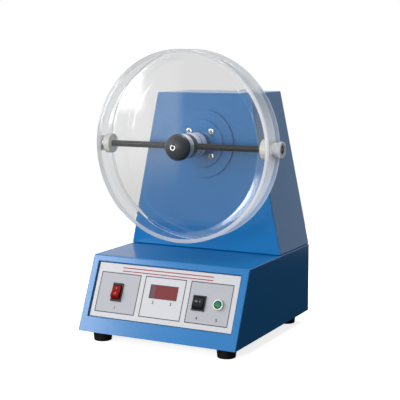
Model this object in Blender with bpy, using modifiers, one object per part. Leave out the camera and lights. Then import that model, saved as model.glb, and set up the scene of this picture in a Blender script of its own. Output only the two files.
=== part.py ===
"""Tablet friability tester: a clear drum on a geared shaft, carried by a tapered sheet-metal tower on a base.

Metres, +Z up. The drum faces -Y. The origin is on the floor, under the middle of the object's box.
"""
import math

import bmesh
import bpy
from mathutils import Vector

OBJECT_NAME = "tablet_friability_tester"

# Clearances and shop sizes
GAP = 0.0003
OVERRUN = 0.002
SHEET = 0.0015
BASE_BEND = 0.0015
TOWER_BEND = 0.0018
EDGE = 0.0006

# Base casing
BASE_WIDTH = 0.2715
BASE_DEPTH = 0.285
BASE_HEIGHT = 0.1124
PANEL_LEAN = 0.05
TRAY_RIM = 0.012
WIRING_HOLE_WIDTH = 0.14
WIRING_HOLE_DEPTH = 0.06

# Feet
FOOT_HEIGHT = 0.018
FOOT_TOP_RADIUS = 0.0135
FOOT_BOTTOM_RADIUS = 0.0118
FOOT_RECESS_RADIUS = 0.0045
FOOT_RECESS_DEPTH = 0.006
FOOT_SIDE_INSET = 0.0278
FOOT_END_INSET = 0.0285

# Tower casing
TOWER_INSET = 0.0003
TOWER_TOP_WIDTH = 0.1647
TOWER_HEIGHT = 0.2524
TOWER_DEPTH = 0.1195
TOWER_LIP = 0.012
COVER_MARGIN = 0.003

# Louvres in the tower's rear cover
LOUVRE_COLUMNS = 2
LOUVRE_ROWS = 5
LOUVRE_WIDTH = 0.05
LOUVRE_LENGTH = 0.008
LOUVRE_RISE = 0.0035
LOUVRE_COLUMN_PITCH = 0.062
LOUVRE_ROW_PITCH = 0.015

# Control panel, measured along the slope from the base's lower front edge
RECESS_WIDTH = 0.2485
RECESS_LENGTH = 0.0883
RECESS_LOW_EDGE = 0.0246
RECESS_DEPTH = 0.0038
PLATE_THICKNESS = 0.0015
WINDOW_WIDTH = 0.046
WINDOW_LENGTH = 0.0195
WINDOW_PLACE = 0.0744
WINDOW_THICKNESS = 0.0012
DISPLAY_BOARD_WIDTH = 0.06
DISPLAY_BOARD_LENGTH = 0.03
DISPLAY_BOARD_THICKNESS = 0.0016
DISPLAY_BLOCK_WIDTH = 0.044

# Rocker switches
POWER_SWITCH_X = -0.0806
POWER_SWITCH_PLACE = 0.0666
POWER_BEZEL_WIDTH = 0.0186
POWER_BEZEL_LENGTH = 0.029
POWER_RIDGE_ANGLE = 48.0
TIMER_SWITCH_X = 0.0625
TIMER_SWITCH_PLACE = 0.0646
TIMER_BEZEL_WIDTH = 0.0214
TIMER_BEZEL_LENGTH = 0.0235
TIMER_RIDGE_ANGLE = 46.0
BEZEL_HEIGHT = 0.002
BEZEL_LAP = 0.0005
SWITCH_WALL = 0.0008
SWITCH_BODY_DEPTH = 0.019
ROCKER_CLEARANCE = 0.0004
ROCKER_PIVOT_DROP = 0.0005
ROCKER_TILT = 12.0
ROCKER_END_ANGLE = 96.0
ROCKER_HOLLOW = 0.0012
ROCKER_PIN_RADIUS = 0.0011
ROCKER_STEM_SHARE = 0.45
CAVITY_DEPTH_SHARE = 0.8

# Start button
BUTTON_X = 0.0955
BUTTON_PLACE = 0.0651
BUTTON_BEZEL_RADIUS = 0.0078
BUTTON_BEZEL_HEIGHT = 0.0046
BUTTON_BARREL_RADIUS = 0.006
BUTTON_BARREL_LENGTH = 0.02
BUTTON_CAP_RADIUS = 0.0052
BUTTON_CAP_DROP = 0.001
BUTTON_CAP_HEIGHT = 0.003
BUTTON_CAP_CROWN = 0.0006
BUTTON_TRAVEL = 0.002
BUTTON_STEM_RADIUS = 0.003
BUTTON_STEM_LENGTH = 0.01

# Drum
AXIS_HEIGHT = 0.3025
DRUM_STANDOFF = 0.0376
DRUM_INNER_RADIUS = 0.1435
DRUM_INNER_DEPTH = 0.038
DRUM_WALL = 0.0055
DRUM_BACK_WALL = 0.0033
DRUM_OUTER_FILLET = 0.001
DRUM_INNER_FILLET = 0.005
COVER_THICKNESS = 0.0035
COVER_SPIGOT = 0.0008
COVER_ROUND = 0.0006

# Hub on the drum's axis
SLEEVE_RADIUS = 0.019
SLEEVE_LENGTH = 0.0305
SLEEVE_BORE_DEPTH = 0.022
BLOCK_RADIUS = 0.0185
BLOCK_LENGTH = 0.0144
RING_RADIUS = 0.0195
RING_LENGTH = 0.0116
STUD_RADIUS = 0.004
STUD_REACH = 0.0098
HUB_EDGE = 0.001

# Knob that clamps the cover
KNOB_RADIUS = 0.0209
KNOB_HEIGHT = 0.0188
KNOB_SKIRT = 0.0022
KNOB_BORE_SPARE = 0.001
INSERT_RADIUS = 0.0043
INSERT_HOLE_RADIUS = 0.0027
INSERT_HEIGHT = 0.0018
INSERT_PROUD = 0.0005

# Crossbar and its collars
CROSSBAR_RADIUS = 0.005
CROSSBAR_PAST_WALL = 0.0005
COLLAR_RADIUS = 0.0156
COLLAR_LENGTH = 0.0108
COLLAR_NECK_RADIUS = 0.008
COLLAR_NECK_REACH = 0.003
COLLAR_BORE_SPARE = 0.0012
NUT_BARREL_RADIUS = 0.0108
NUT_FLANGE_RADIUS = 0.0125
NUT_FLANGE_LENGTH = 0.005
RIGHT_NUT_LENGTH = 0.0138
LEFT_NUT_LENGTH = 0.007
NUT_RECESS_RADIUS = 0.0078
NUT_RECESS_DEPTH = 0.0022
NUT_HOLE_RADIUS = 0.002
NUT_HOLE_DEPTH = 0.001
NUT_SOCKET_SPARE = 0.0006

# Bearing flange
FLANGE_RADIUS = 0.055
FLANGE_THICKNESS = 0.0037
FLANGE_STEP_RADIUS = 0.0385
FLANGE_STEP_THICKNESS = 0.004
BOSS_RADIUS = 0.024
BOSS_REACH = 0.0275
SCREW_CIRCLE_RADIUS = 0.028
SCREW_COUNT = 4
SCREW_RADIUS = 0.002
SCREW_HEAD_RADIUS = 0.0042
SCREW_HEAD_HEIGHT = 0.0028
SCREW_REACH = 0.003

# Ball bearings and drive shaft
BEARING_OUTER_RADIUS = 0.016
BEARING_INNER_RADIUS = 0.0078
BEARING_WIDTH = 0.009
BEARING_RACE = 0.0026
BEARING_INSET = 0.004
BEARING_SHOULDER = 0.004
REAR_BEARING_INSET = 0.002
SHAFT_RADIUS = 0.0075
SHAFT_COLLAR_RADIUS = 0.0082
SHAFT_TAIL_RADIUS = 0.005
SHAFT_TAIL_LENGTH = 0.0135

# Count disc and its sensor
DISC_HUB_RADIUS = 0.009
DISC_HUB_LENGTH = 0.0035
DISC_RADIUS = 0.0225
DISC_THICKNESS = 0.0012
DISC_STANDOFF = 0.0045
DISC_SLOT_WIDTH = 0.003
DISC_SLOT_DEPTH = 0.004
SENSOR_WIDTH = 0.012
SENSOR_LEG = 0.0036
SENSOR_SLOT_CLEARANCE = 0.0012
SENSOR_LOW_RADIUS = 0.0175
SENSOR_HIGH_RADIUS = 0.0295
SENSOR_BRIDGE = 0.005

# Jaw coupling
COUPLING_RADIUS = 0.013
COUPLING_STANDOFF = 0.0012
COUPLING_HUB_LENGTH = 0.0075
COUPLING_JAW_LENGTH = 0.0058
COUPLING_JAW_COUNT = 3
COUPLING_JAW_ANGLE = 44.0
COUPLING_LEG_ANGLE = 10.6
COUPLING_CORE_RADIUS = 0.0073
SPIDER_HOLE_RADIUS = 0.0045

# Gearbox, motor and bracket
BRACKET_SHEET = 0.003
BRACKET_SPREAD = 0.045
BRACKET_FOOT = 0.017
BRACKET_HEIGHT = 0.09
BRACKET_WEB = 0.064
GEARBOX_SIZE = 0.076
GEARBOX_LENGTH = 0.0207
GEARBOX_BOSS_RADIUS = 0.0155
GEARBOX_BOSS_LENGTH = 0.0026
GEARBOX_CORNER = 0.005
GEAR_SHAFT_RADIUS = 0.005
GEAR_SHAFT_SEAT = 0.008
MOTOR_RADIUS = 0.03
MOTOR_LENGTH = 0.0235
MOTOR_EDGE = 0.002

# Parts in the base
PILLAR_RADIUS = 0.003
PILLAR_HEIGHT = 0.008
BOARD_WIDTH = 0.1
BOARD_DEPTH = 0.08
BOARD_THICKNESS = 0.0016
BOARD_X = -0.055
BOARD_Y = 0.02
BOARD_HOLE_INSET = 0.005
RELAY_WIDTH = 0.019
RELAY_DEPTH = 0.0155
RELAY_HEIGHT = 0.0155
CHIP_WIDTH = 0.036
CHIP_DEPTH = 0.013
CHIP_HEIGHT = 0.004
CAPACITOR_RADIUS = 0.008
CAPACITOR_HEIGHT = 0.025
CORE_WIDTH = 0.06
CORE_DEPTH = 0.028
CORE_HEIGHT = 0.05
CORE_LEG = 0.01
CORE_CENTRE_LEG = 0.02
CORE_YOKE = 0.009
WINDING_BUILD = 0.0085
WINDING_SPARE = 0.0006
TRANSFORMER_X = 0.06
TRANSFORMER_Y = 0.02

# Mains inlet and fuse on the rear of the base
INLET_X = -0.075
INLET_HEIGHT = 0.06
INLET_FLANGE_WIDTH = 0.031
INLET_FLANGE_HEIGHT = 0.0235
INLET_FLANGE_THICKNESS = 0.0025
INLET_BODY_WIDTH = 0.027
INLET_BODY_HEIGHT = 0.0195
INLET_BODY_DEPTH = 0.018
INLET_SOCKET_WIDTH = 0.0242
INLET_SOCKET_HEIGHT = 0.0163
INLET_SOCKET_DEPTH = 0.0165
INLET_SOCKET_CHAMFER = 0.0045
PIN_WIDTH = 0.002
PIN_HEIGHT = 0.004
PIN_LENGTH = 0.013
PIN_SPREAD = 0.007
PIN_OFFSET = 0.002
FUSE_X = -0.038
FUSE_FLANGE_RADIUS = 0.0085
FUSE_FLANGE_THICKNESS = 0.0022
FUSE_BODY_RADIUS = 0.0062
FUSE_BODY_LENGTH = 0.026
FUSE_BORE_RADIUS = 0.0045
FUSE_BORE_DEPTH = 0.016
FUSE_CAP_RADIUS = 0.0062
FUSE_CAP_HEIGHT = 0.0028
FUSE_PLUG_RADIUS = 0.004
FUSE_PLUG_LENGTH = 0.014
FUSE_SLOT_WIDTH = 0.0014
FUSE_SLOT_DEPTH = 0.001

# Facets round a full turn
DRUM_STEPS = 64
LARGE_STEPS = 32
MEDIUM_STEPS = 18
SMALL_STEPS = 16
TINY_STEPS = 10

# Places that follow from the sizes above
BASE_TOP = FOOT_HEIGHT + BASE_HEIGHT
FRONT_Y = -BASE_DEPTH / 2
REAR_Y = BASE_DEPTH / 2
PANEL_TILT = math.atan2(PANEL_LEAN, BASE_HEIGHT)
TOWER_FRONT = REAR_Y - TOWER_DEPTH
TOWER_BOTTOM = BASE_TOP + GAP
TOWER_BOTTOM_WIDTH = BASE_WIDTH - 2 * TOWER_INSET
TOWER_INSIDE = TOWER_FRONT + SHEET
DRUM_BACK = TOWER_FRONT - DRUM_STANDOFF
DRUM_FLOOR = DRUM_BACK - DRUM_BACK_WALL
DRUM_OUTER_RADIUS = DRUM_INNER_RADIUS + DRUM_WALL
CROSSBAR_REACH = DRUM_OUTER_RADIUS + CROSSBAR_PAST_WALL
COVER_BACK = DRUM_FLOOR - DRUM_INNER_DEPTH
COVER_SHOULDER = COVER_BACK - COVER_SPIGOT
COVER_FRONT = COVER_SHOULDER - COVER_THICKNESS
RIM_FRONT = COVER_SHOULDER + GAP
RING_FRONT = COVER_BACK + GAP
RING_BACK = RING_FRONT + RING_LENGTH
BLOCK_FRONT = RING_BACK + GAP
BLOCK_BACK = BLOCK_FRONT + BLOCK_LENGTH
CROSSBAR_PLACE = BLOCK_FRONT + BLOCK_LENGTH / 2
SLEEVE_FRONT = BLOCK_BACK + GAP
SLEEVE_BACK = SLEEVE_FRONT + SLEEVE_LENGTH
SLEEVE_BORE_END = SLEEVE_BACK - SLEEVE_BORE_DEPTH
STUD_TIP = COVER_FRONT - STUD_REACH
KNOB_BACK = COVER_FRONT - GAP
KNOB_TIP = KNOB_BACK - KNOB_HEIGHT
PLATE_BACK = -RECESS_DEPTH + GAP
PLATE_FRONT = PLATE_BACK + PLATE_THICKNESS
PANEL_FLOOR_BACK = -RECESS_DEPTH - SHEET
FLANGE_BACK = TOWER_FRONT - GAP
FLANGE_FRONT = FLANGE_BACK - FLANGE_THICKNESS
STEP_FRONT = FLANGE_FRONT - FLANGE_STEP_THICKNESS
BOSS_END = TOWER_INSIDE + BOSS_REACH
FRONT_BEARING = STEP_FRONT + BEARING_INSET
REAR_BEARING = BOSS_END - REAR_BEARING_INSET - BEARING_WIDTH
SHAFT_SHOULDER = FRONT_BEARING - GAP
SHAFT_FRONT = SLEEVE_BORE_END + GAP
SHAFT_TAIL = BOSS_END + GAP
SHAFT_END = SHAFT_TAIL + SHAFT_TAIL_LENGTH
DISC_HUB_FRONT = BOSS_END + DISC_STANDOFF
DISC_FRONT = DISC_HUB_FRONT + DISC_HUB_LENGTH
DISC_BACK = DISC_FRONT + DISC_THICKNESS
COUPLING_FRONT = DISC_BACK + COUPLING_STANDOFF
JAW_START = COUPLING_FRONT + COUPLING_HUB_LENGTH
JAW_END = JAW_START + COUPLING_JAW_LENGTH
REAR_HUB_FRONT = JAW_END + GAP
COUPLING_BACK = REAR_HUB_FRONT + COUPLING_HUB_LENGTH
BRACKET_BACK = TOWER_INSIDE + GAP + BRACKET_WEB
GEARBOX_FRONT = BRACKET_BACK + BRACKET_SHEET + GAP
GEARBOX_BACK = GEARBOX_FRONT + GEARBOX_LENGTH
MOTOR_FRONT = GEARBOX_BACK + GAP
REAR_COVER_FRONT = REAR_Y + GAP
REAR_COVER_BACK = REAR_COVER_FRONT + SHEET
COLLAR_FACE = math.sqrt(DRUM_INNER_RADIUS ** 2 - COLLAR_RADIUS ** 2) - GAP
NUT_FACE = DRUM_OUTER_RADIUS + GAP
NECK_END = DRUM_OUTER_RADIUS + COLLAR_NECK_REACH
RIGHT_REACH = NUT_FACE + RIGHT_NUT_LENGTH
LEFT_REACH = NUT_FACE + LEFT_NUT_LENGTH
REAR_REACH = REAR_COVER_BACK + LOUVRE_RISE
TRAY_FLOOR = FOOT_HEIGHT + SHEET


def empty(name, place, turn=(0.0, 0.0, 0.0), parent=None):
    """A parent for pieces that share an axis or a sloping face."""
    holder = bpy.data.objects.new(name, None)
    holder.empty_display_size = FOOT_HEIGHT
    holder.location = place
    holder.rotation_euler = turn
    holder.parent = parent
    parts.objects.link(holder)
    return holder


def paint(name, colour, roughness, metallic=0.0, alpha=1.0):
    """A Principled material in one colour."""
    material = bpy.data.materials.new(name)
    material.use_nodes = True
    shader = material.node_tree.nodes["Principled BSDF"]
    shader.inputs["Base Color"].default_value = (*colour, 1.0)
    shader.inputs["Roughness"].default_value = roughness
    shader.inputs["Metallic"].default_value = metallic
    shader.inputs["Alpha"].default_value = alpha
    material.diffuse_color = (*colour, alpha)
    return material


def add(name, bm, material, parent, place=(0.0, 0.0, 0.0), turn=(0.0, 0.0, 0.0)):
    """Turns a bmesh into a named part."""
    mesh = bpy.data.meshes.new(name)
    bm.to_mesh(mesh)
    bm.free()
    mesh.shade_smooth()
    if mesh.polygons:
        mesh.set_sharp_from_angle(angle=math.radians(35.0))
    part = bpy.data.objects.new(name, mesh)
    part.location = place
    part.rotation_euler = turn
    part.parent = parent
    if material:
        mesh.materials.append(material)
        parts.objects.link(part)
    else:
        cutters.objects.link(part)
        part.hide_render = True
        part.display_type = "WIRE"
    return part


def arc(centre, radius, start, end, steps):
    """Points on an arc of an outline, from one angle to another in degrees."""
    points = []
    for step in range(steps + 1):
        angle = math.radians(start + (end - start) * step / steps)
        points.append((centre[0] + radius * math.cos(angle), centre[1] + radius * math.sin(angle)))
    return points


def turned(name, outline, steps, material, parent, place=(0.0, 0.0, 0.0), turn=(0.0, 0.0, 0.0)):
    """A turned piece: (radius, height) points that run down its outer side from its high end."""
    bm = bmesh.new()
    verts = [bm.verts.new((radius, 0.0, height)) for radius, height in outline]
    for first, second in zip(verts, verts[1:]):
        bm.edges.new((first, second))
    if outline[0][0] > 0 and outline[-1][0] > 0:
        bm.edges.new((verts[-1], verts[0]))
    part = add(name, bm, material, parent, place, turn)
    screw = part.modifiers.new("turn", "SCREW")
    screw.axis = "Z"
    screw.angle = math.tau
    screw.steps = steps
    screw.render_steps = steps
    screw.use_merge_vertices = True
    screw.merge_threshold = 0.00001
    screw.use_smooth_shade = True
    return part


def cylinder(name, radius, low, high, steps, material, parent, place=(0.0, 0.0, 0.0), turn=(0.0, 0.0, 0.0)):
    """A plain cylinder between two heights."""
    bm = bmesh.new()
    bmesh.ops.create_cone(bm, cap_ends=True, segments=steps, radius1=radius, radius2=radius, depth=high - low)
    bmesh.ops.translate(bm, vec=(0.0, 0.0, (high + low) / 2), verts=bm.verts)
    return add(name, bm, material, parent, place, turn)


def block(name, low, high, material, parent, place=(0.0, 0.0, 0.0), turn=(0.0, 0.0, 0.0)):
    """A rectangular block between two corners."""
    bm = bmesh.new()
    bmesh.ops.create_cube(bm, size=1.0)
    size = Vector(high) - Vector(low)
    middle = (Vector(high) + Vector(low)) / 2
    bmesh.ops.scale(bm, vec=size, verts=bm.verts)
    bmesh.ops.translate(bm, vec=middle, verts=bm.verts)
    return add(name, bm, material, parent, place, turn)


def centred(name, size, low, high, material, parent, place=(0.0, 0.0, 0.0), turn=(0.0, 0.0, 0.0)):
    """A block centred on its own Z axis, of the given width and length, between two heights."""
    corner = (size[0] / 2, size[1] / 2)
    near = (-corner[0], -corner[1], low)
    far = (corner[0], corner[1], high)
    return block(name, near, far, material, parent, place, turn)


def prism(name, outline, low, high, material, parent, place=(0.0, 0.0, 0.0), turn=(0.0, 0.0, 0.0)):
    """A flat outline, filled and raised from one height to another."""
    bm = bmesh.new()
    verts = [bm.verts.new((x, y, low)) for x, y in outline]
    edges = [bm.edges.new(pair) for pair in zip(verts, verts[1:] + verts[:1])]
    filled = bmesh.ops.edgeloop_fill(bm, edges=edges)
    raised = bmesh.ops.extrude_face_region(bm, geom=filled["faces"])
    top = [item for item in raised["geom"] if isinstance(item, bmesh.types.BMVert)]
    bmesh.ops.translate(bm, vec=(0.0, 0.0, high - low), verts=top)
    bmesh.ops.recalc_face_normals(bm, faces=bm.faces)
    return add(name, bm, material, parent, place, turn)


def combine(part, other, how="DIFFERENCE"):
    """Cuts or joins another shape with an exact Boolean."""
    change = part.modifiers.new(other.name, "BOOLEAN")
    change.operation = how
    change.solver = "EXACT"
    change.object = other
    return part


def round_edges(part, width, segments):
    """Rounds the sharp edges of a piece."""
    bevel = part.modifiers.new("edges", "BEVEL")
    bevel.width = width
    bevel.segments = segments
    bevel.limit_method = "ANGLE"
    return part


def thicken(part, thickness):
    """Gives an open surface its wall, inwards."""
    wall = part.modifiers.new("wall", "SOLIDIFY")
    wall.thickness = thickness
    wall.offset = -1.0
    wall.use_even_offset = True
    return part


def sloped_box(low, high, half_width, front_low, front_high, rear):
    """A box whose front leans back, as a bmesh: front and rear are places along Y."""
    bm = bmesh.new()
    bmesh.ops.create_cube(bm, size=1.0)
    for vert in bm.verts:
        is_high = vert.co.z > 0
        front = front_high if is_high else front_low
        vert.co.y = rear if vert.co.y > 0 else front
        vert.co.x = math.copysign(half_width, vert.co.x)
        vert.co.z = high if is_high else low
    return bm


def open_face(bm, direction, lip=0.0):
    """Opens the side that faces a direction, and leaves a lip round it where one is wanted."""
    for face in list(bm.faces):
        if face.normal.dot(Vector(direction)) < math.cos(PANEL_TILT):
            continue
        if lip > 0:
            bmesh.ops.inset_region(bm, faces=[face], thickness=lip, use_even_offset=True)
        bmesh.ops.delete(bm, geom=[face], context="FACES")
        return


def base_housing(material):
    """Folded sheet with a slanted front, open below, with a pan for the panel plate."""
    bm = sloped_box(FOOT_HEIGHT, BASE_TOP, BASE_WIDTH / 2, FRONT_Y, FRONT_Y + PANEL_LEAN, REAR_Y)
    bm.normal_update()
    open_face(bm, (0.0, 0.0, -1.0))
    housing = add("base_housing", bm, material, assembly)
    round_edges(housing, BASE_BEND, 3)
    thicken(housing, SHEET)
    trim_size = (BASE_WIDTH + 2 * OVERRUN, BASE_DEPTH + 2 * OVERRUN)
    trim = centred("rim_trim", trim_size, FOOT_HEIGHT - OVERRUN, FOOT_HEIGHT, None, assembly)
    combine(housing, trim)
    middle = RECESS_LOW_EDGE + RECESS_LENGTH / 2
    pan_size = (RECESS_WIDTH + 2 * SHEET, RECESS_LENGTH + 2 * SHEET)
    pan = centred("panel_pan", pan_size, PANEL_FLOOR_BACK, -SHEET / 2, None, panel, (0.0, middle, 0.0))
    combine(housing, pan, "UNION")
    recess_size = (RECESS_WIDTH, RECESS_LENGTH)
    recess = centred("panel_recess", recess_size, -RECESS_DEPTH, OVERRUN, None, panel, (0.0, middle, 0.0))
    combine(housing, recess)
    for opening in panel_openings("housing", PANEL_FLOOR_BACK - OVERRUN, OVERRUN):
        combine(housing, opening)
    hole_middle = (TOWER_INSIDE + REAR_Y) / 2
    hole_size = (WIRING_HOLE_WIDTH, WIRING_HOLE_DEPTH)
    wiring_hole = centred("wiring_hole", hole_size, BASE_TOP - SHEET - OVERRUN, BASE_TOP + OVERRUN, None,
                          assembly, (0.0, hole_middle, 0.0))
    combine(housing, wiring_hole)
    inlet_size = (INLET_BODY_WIDTH + 2 * GAP, INLET_BODY_HEIGHT + 2 * GAP)
    combine(housing, centred("inlet_opening", inlet_size, -SHEET - OVERRUN, OVERRUN, None, inlet_face))
    combine(housing, cylinder("fuse_opening", FUSE_BODY_RADIUS + GAP, -SHEET - OVERRUN, OVERRUN, SMALL_STEPS,
                              None, fuse_face))
    return housing


def switch_opening_size(bezel_width, bezel_length):
    """The panel opening that a switch's bezel laps over."""
    return (bezel_width - 2 * BEZEL_LAP, bezel_length - 2 * BEZEL_LAP)


def panel_openings(owner, low, high):
    """The four openings of the panel, as cutters between two heights over the sloping face."""
    power = switch_opening_size(POWER_BEZEL_WIDTH, POWER_BEZEL_LENGTH)
    timer = switch_opening_size(TIMER_BEZEL_WIDTH, TIMER_BEZEL_LENGTH)
    window = (WINDOW_WIDTH + 2 * GAP, WINDOW_LENGTH + 2 * GAP)
    power_place = (POWER_SWITCH_X, POWER_SWITCH_PLACE, 0.0)
    timer_place = (TIMER_SWITCH_X, TIMER_SWITCH_PLACE, 0.0)
    button_place = (BUTTON_X, BUTTON_PLACE, 0.0)
    return [
        centred(owner + "_power_opening", power, low, high, None, panel, power_place),
        centred(owner + "_timer_opening", timer, low, high, None, panel, timer_place),
        centred(owner + "_window_opening", window, low, high, None, panel, (0.0, WINDOW_PLACE, 0.0)),
        cylinder(owner + "_button_opening", BUTTON_BARREL_RADIUS + GAP, low, high, SMALL_STEPS, None, panel,
                 button_place),
    ]


def base_plate(material):
    """Tray that closes the base, with a rim that nests in the housing and pillars for the board."""
    inset = SHEET + GAP
    front_inset = inset / math.cos(PANEL_TILT)
    lean = TRAY_RIM * math.tan(PANEL_TILT)
    bm = sloped_box(FOOT_HEIGHT, FOOT_HEIGHT + TRAY_RIM, BASE_WIDTH / 2 - inset, FRONT_Y + front_inset,
                    FRONT_Y + front_inset + lean, REAR_Y - inset)
    bm.normal_update()
    open_face(bm, (0.0, 0.0, 1.0))
    tray = add("base_plate", bm, material, assembly)
    round_edges(tray, BASE_BEND, 1)
    thicken(tray, SHEET)
    pillar_x = BOARD_WIDTH / 2 - BOARD_HOLE_INSET
    pillar_y = BOARD_DEPTH / 2 - BOARD_HOLE_INSET
    for side_x in (-1, 1):
        for side_y in (-1, 1):
            place = (BOARD_X + side_x * pillar_x, BOARD_Y + side_y * pillar_y, 0.0)
            pillar = cylinder(f"pillar_{side_x}_{side_y}", PILLAR_RADIUS, TRAY_FLOOR - SHEET / 2,
                              TRAY_FLOOR + PILLAR_HEIGHT, TINY_STEPS, None, assembly, place)
            combine(tray, pillar, "UNION")
    return tray


def foot(name, side_x, side_y, material):
    """Tapered rubber foot with a screw recess in its sole."""
    top = FOOT_HEIGHT - GAP
    outline = [(0.0, top), (FOOT_TOP_RADIUS - EDGE, top), (FOOT_TOP_RADIUS, top - EDGE),
               (FOOT_BOTTOM_RADIUS, EDGE), (FOOT_BOTTOM_RADIUS - EDGE, 0.0), (FOOT_RECESS_RADIUS, 0.0),
               (FOOT_RECESS_RADIUS, FOOT_RECESS_DEPTH), (0.0, FOOT_RECESS_DEPTH)]
    spread_x = BASE_WIDTH / 2 - FOOT_SIDE_INSET
    spread_y = BASE_DEPTH / 2 - FOOT_END_INSET
    place = (side_x * spread_x, side_y * spread_y, 0.0)
    return turned(name, outline, SMALL_STEPS, material, assembly, place)


def tower_half_width(height):
    """Half the tower's width at a height above the floor."""
    share = (height - TOWER_BOTTOM) / TOWER_HEIGHT
    return (TOWER_BOTTOM_WIDTH + (TOWER_TOP_WIDTH - TOWER_BOTTOM_WIDTH) * share) / 2


def tower_housing(material):
    """Tapered folded casing, open below and behind, with lips bent in round both openings."""
    top = TOWER_BOTTOM + TOWER_HEIGHT
    bm = sloped_box(TOWER_BOTTOM, top, TOWER_BOTTOM_WIDTH / 2, TOWER_FRONT, TOWER_FRONT, REAR_Y)
    for vert in bm.verts:
        vert.co.x = math.copysign(tower_half_width(vert.co.z), vert.co.x)
    bm.normal_update()
    open_face(bm, (0.0, 0.0, -1.0), TOWER_LIP)
    open_face(bm, (0.0, 1.0, 0.0), TOWER_LIP)
    housing = add("tower_housing", bm, material, assembly)
    round_edges(housing, TOWER_BEND, 3)
    thicken(housing, SHEET)
    boss_hole = cylinder("boss_hole", BOSS_RADIUS + GAP, TOWER_FRONT - OVERRUN, TOWER_INSIDE + OVERRUN,
                         LARGE_STEPS, None, fixed_axis)
    combine(housing, boss_hole)
    for hole in screw_holes("tower", TOWER_FRONT - OVERRUN, TOWER_INSIDE + OVERRUN):
        combine(housing, hole)
    return housing


def screw_places():
    """The flange screws' places across the axis, on a circle, turned by half a step."""
    places = []
    for number in range(SCREW_COUNT):
        angle = math.tau * (number + 1 / 2) / SCREW_COUNT
        places.append((SCREW_CIRCLE_RADIUS * math.cos(angle), SCREW_CIRCLE_RADIUS * math.sin(angle)))
    return places


def screw_holes(owner, low, high):
    """Clearance holes for the flange screws."""
    holes = []
    for number, (x, y) in enumerate(screw_places(), start=1):
        holes.append(cylinder(f"{owner}_screw_hole_{number}", SCREW_RADIUS + GAP, low, high, TINY_STEPS, None,
                              fixed_axis, (x, y, 0.0)))
    return holes


def tower_rear_cover(material):
    """Flat cover screwed over the tower's open back, with pressed louvres."""
    low = TOWER_BOTTOM + COVER_MARGIN
    high = TOWER_BOTTOM + TOWER_HEIGHT - COVER_MARGIN
    low_x = tower_half_width(low) - COVER_MARGIN
    high_x = tower_half_width(high) - COVER_MARGIN
    outline = [(-low_x, low), (low_x, low), (high_x, high), (-high_x, high)]
    upright = (math.pi / 2, 0.0, 0.0)
    cover = prism("tower_rear_cover", outline, -REAR_COVER_BACK, -REAR_COVER_FRONT, material, assembly,
                  turn=upright)
    for column in range(LOUVRE_COLUMNS):
        for row in range(LOUVRE_ROWS):
            x = (column - (LOUVRE_COLUMNS - 1) / 2) * LOUVRE_COLUMN_PITCH
            z = AXIS_HEIGHT + (row - (LOUVRE_ROWS - 1) / 2) * LOUVRE_ROW_PITCH
            hood, slot = louvre(f"louvre_{column + 1}_{row + 1}", x, z)
            combine(cover, hood, "UNION")
            combine(cover, slot)
    return cover


def louvre(name, x, z):
    """One louvre's hood and the slot under it, open downwards. Their outlines lie in the YZ plane."""
    sideways = (math.pi / 2, 0.0, math.pi / 2)
    place = (x, 0.0, z)
    top = LOUVRE_LENGTH / 2
    bottom = -LOUVRE_LENGTH / 2
    half = LOUVRE_WIDTH / 2
    within = REAR_COVER_BACK - SHEET / 2
    crest = REAR_COVER_BACK + LOUVRE_RISE
    hood_outline = [(within, bottom), (crest, bottom), (crest, bottom + SHEET), (REAR_COVER_BACK, top),
                    (within, top)]
    hood = prism(name + "_hood", hood_outline, -half, half, None, assembly, place, sideways)
    inside = REAR_COVER_FRONT - OVERRUN
    slot_outline = [(inside, bottom - GAP), (crest - SHEET, bottom - GAP), (crest - SHEET, bottom + GAP),
                    (REAR_COVER_BACK - SHEET / 2, top - SHEET), (inside, top - SHEET)]
    slot_half = half - SHEET
    slot = prism(name + "_slot", slot_outline, -slot_half, slot_half, None, assembly, place, sideways)
    return hood, slot


def panel_plate(material):
    """Thin plate in the pan, with the same openings as the pan's floor."""
    middle = RECESS_LOW_EDGE + RECESS_LENGTH / 2
    size = (RECESS_WIDTH - 2 * GAP, RECESS_LENGTH - 2 * GAP)
    plate = centred("panel_plate", size, PLATE_BACK, PLATE_FRONT, material, panel, (0.0, middle, 0.0))
    for opening in panel_openings("plate", PLATE_BACK - OVERRUN, PLATE_FRONT + OVERRUN):
        combine(plate, opening)
    return plate


def display_window(material):
    """Tinted window, flush with the plate's back."""
    size = (WINDOW_WIDTH, WINDOW_LENGTH)
    place = (0.0, WINDOW_PLACE, 0.0)
    return centred("display_window", size, PLATE_BACK, PLATE_BACK + WINDOW_THICKNESS, material, panel, place)


def display_module(material):
    """Digit block behind the window, on a board that bears on the pan's floor."""
    place = (0.0, WINDOW_PLACE, 0.0)
    board_top = PANEL_FLOOR_BACK - GAP
    board_bottom = board_top - DISPLAY_BOARD_THICKNESS
    board_size = (DISPLAY_BOARD_WIDTH, DISPLAY_BOARD_LENGTH)
    module = centred("display_module", board_size, board_bottom, board_top, material, panel, place)
    block_size = (DISPLAY_BLOCK_WIDTH, WINDOW_LENGTH)
    root = board_bottom + DISPLAY_BOARD_THICKNESS / 2
    digits = centred("digit_block", block_size, root, PLATE_BACK - GAP, None, panel, place)
    return combine(module, digits, "UNION")


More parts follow.
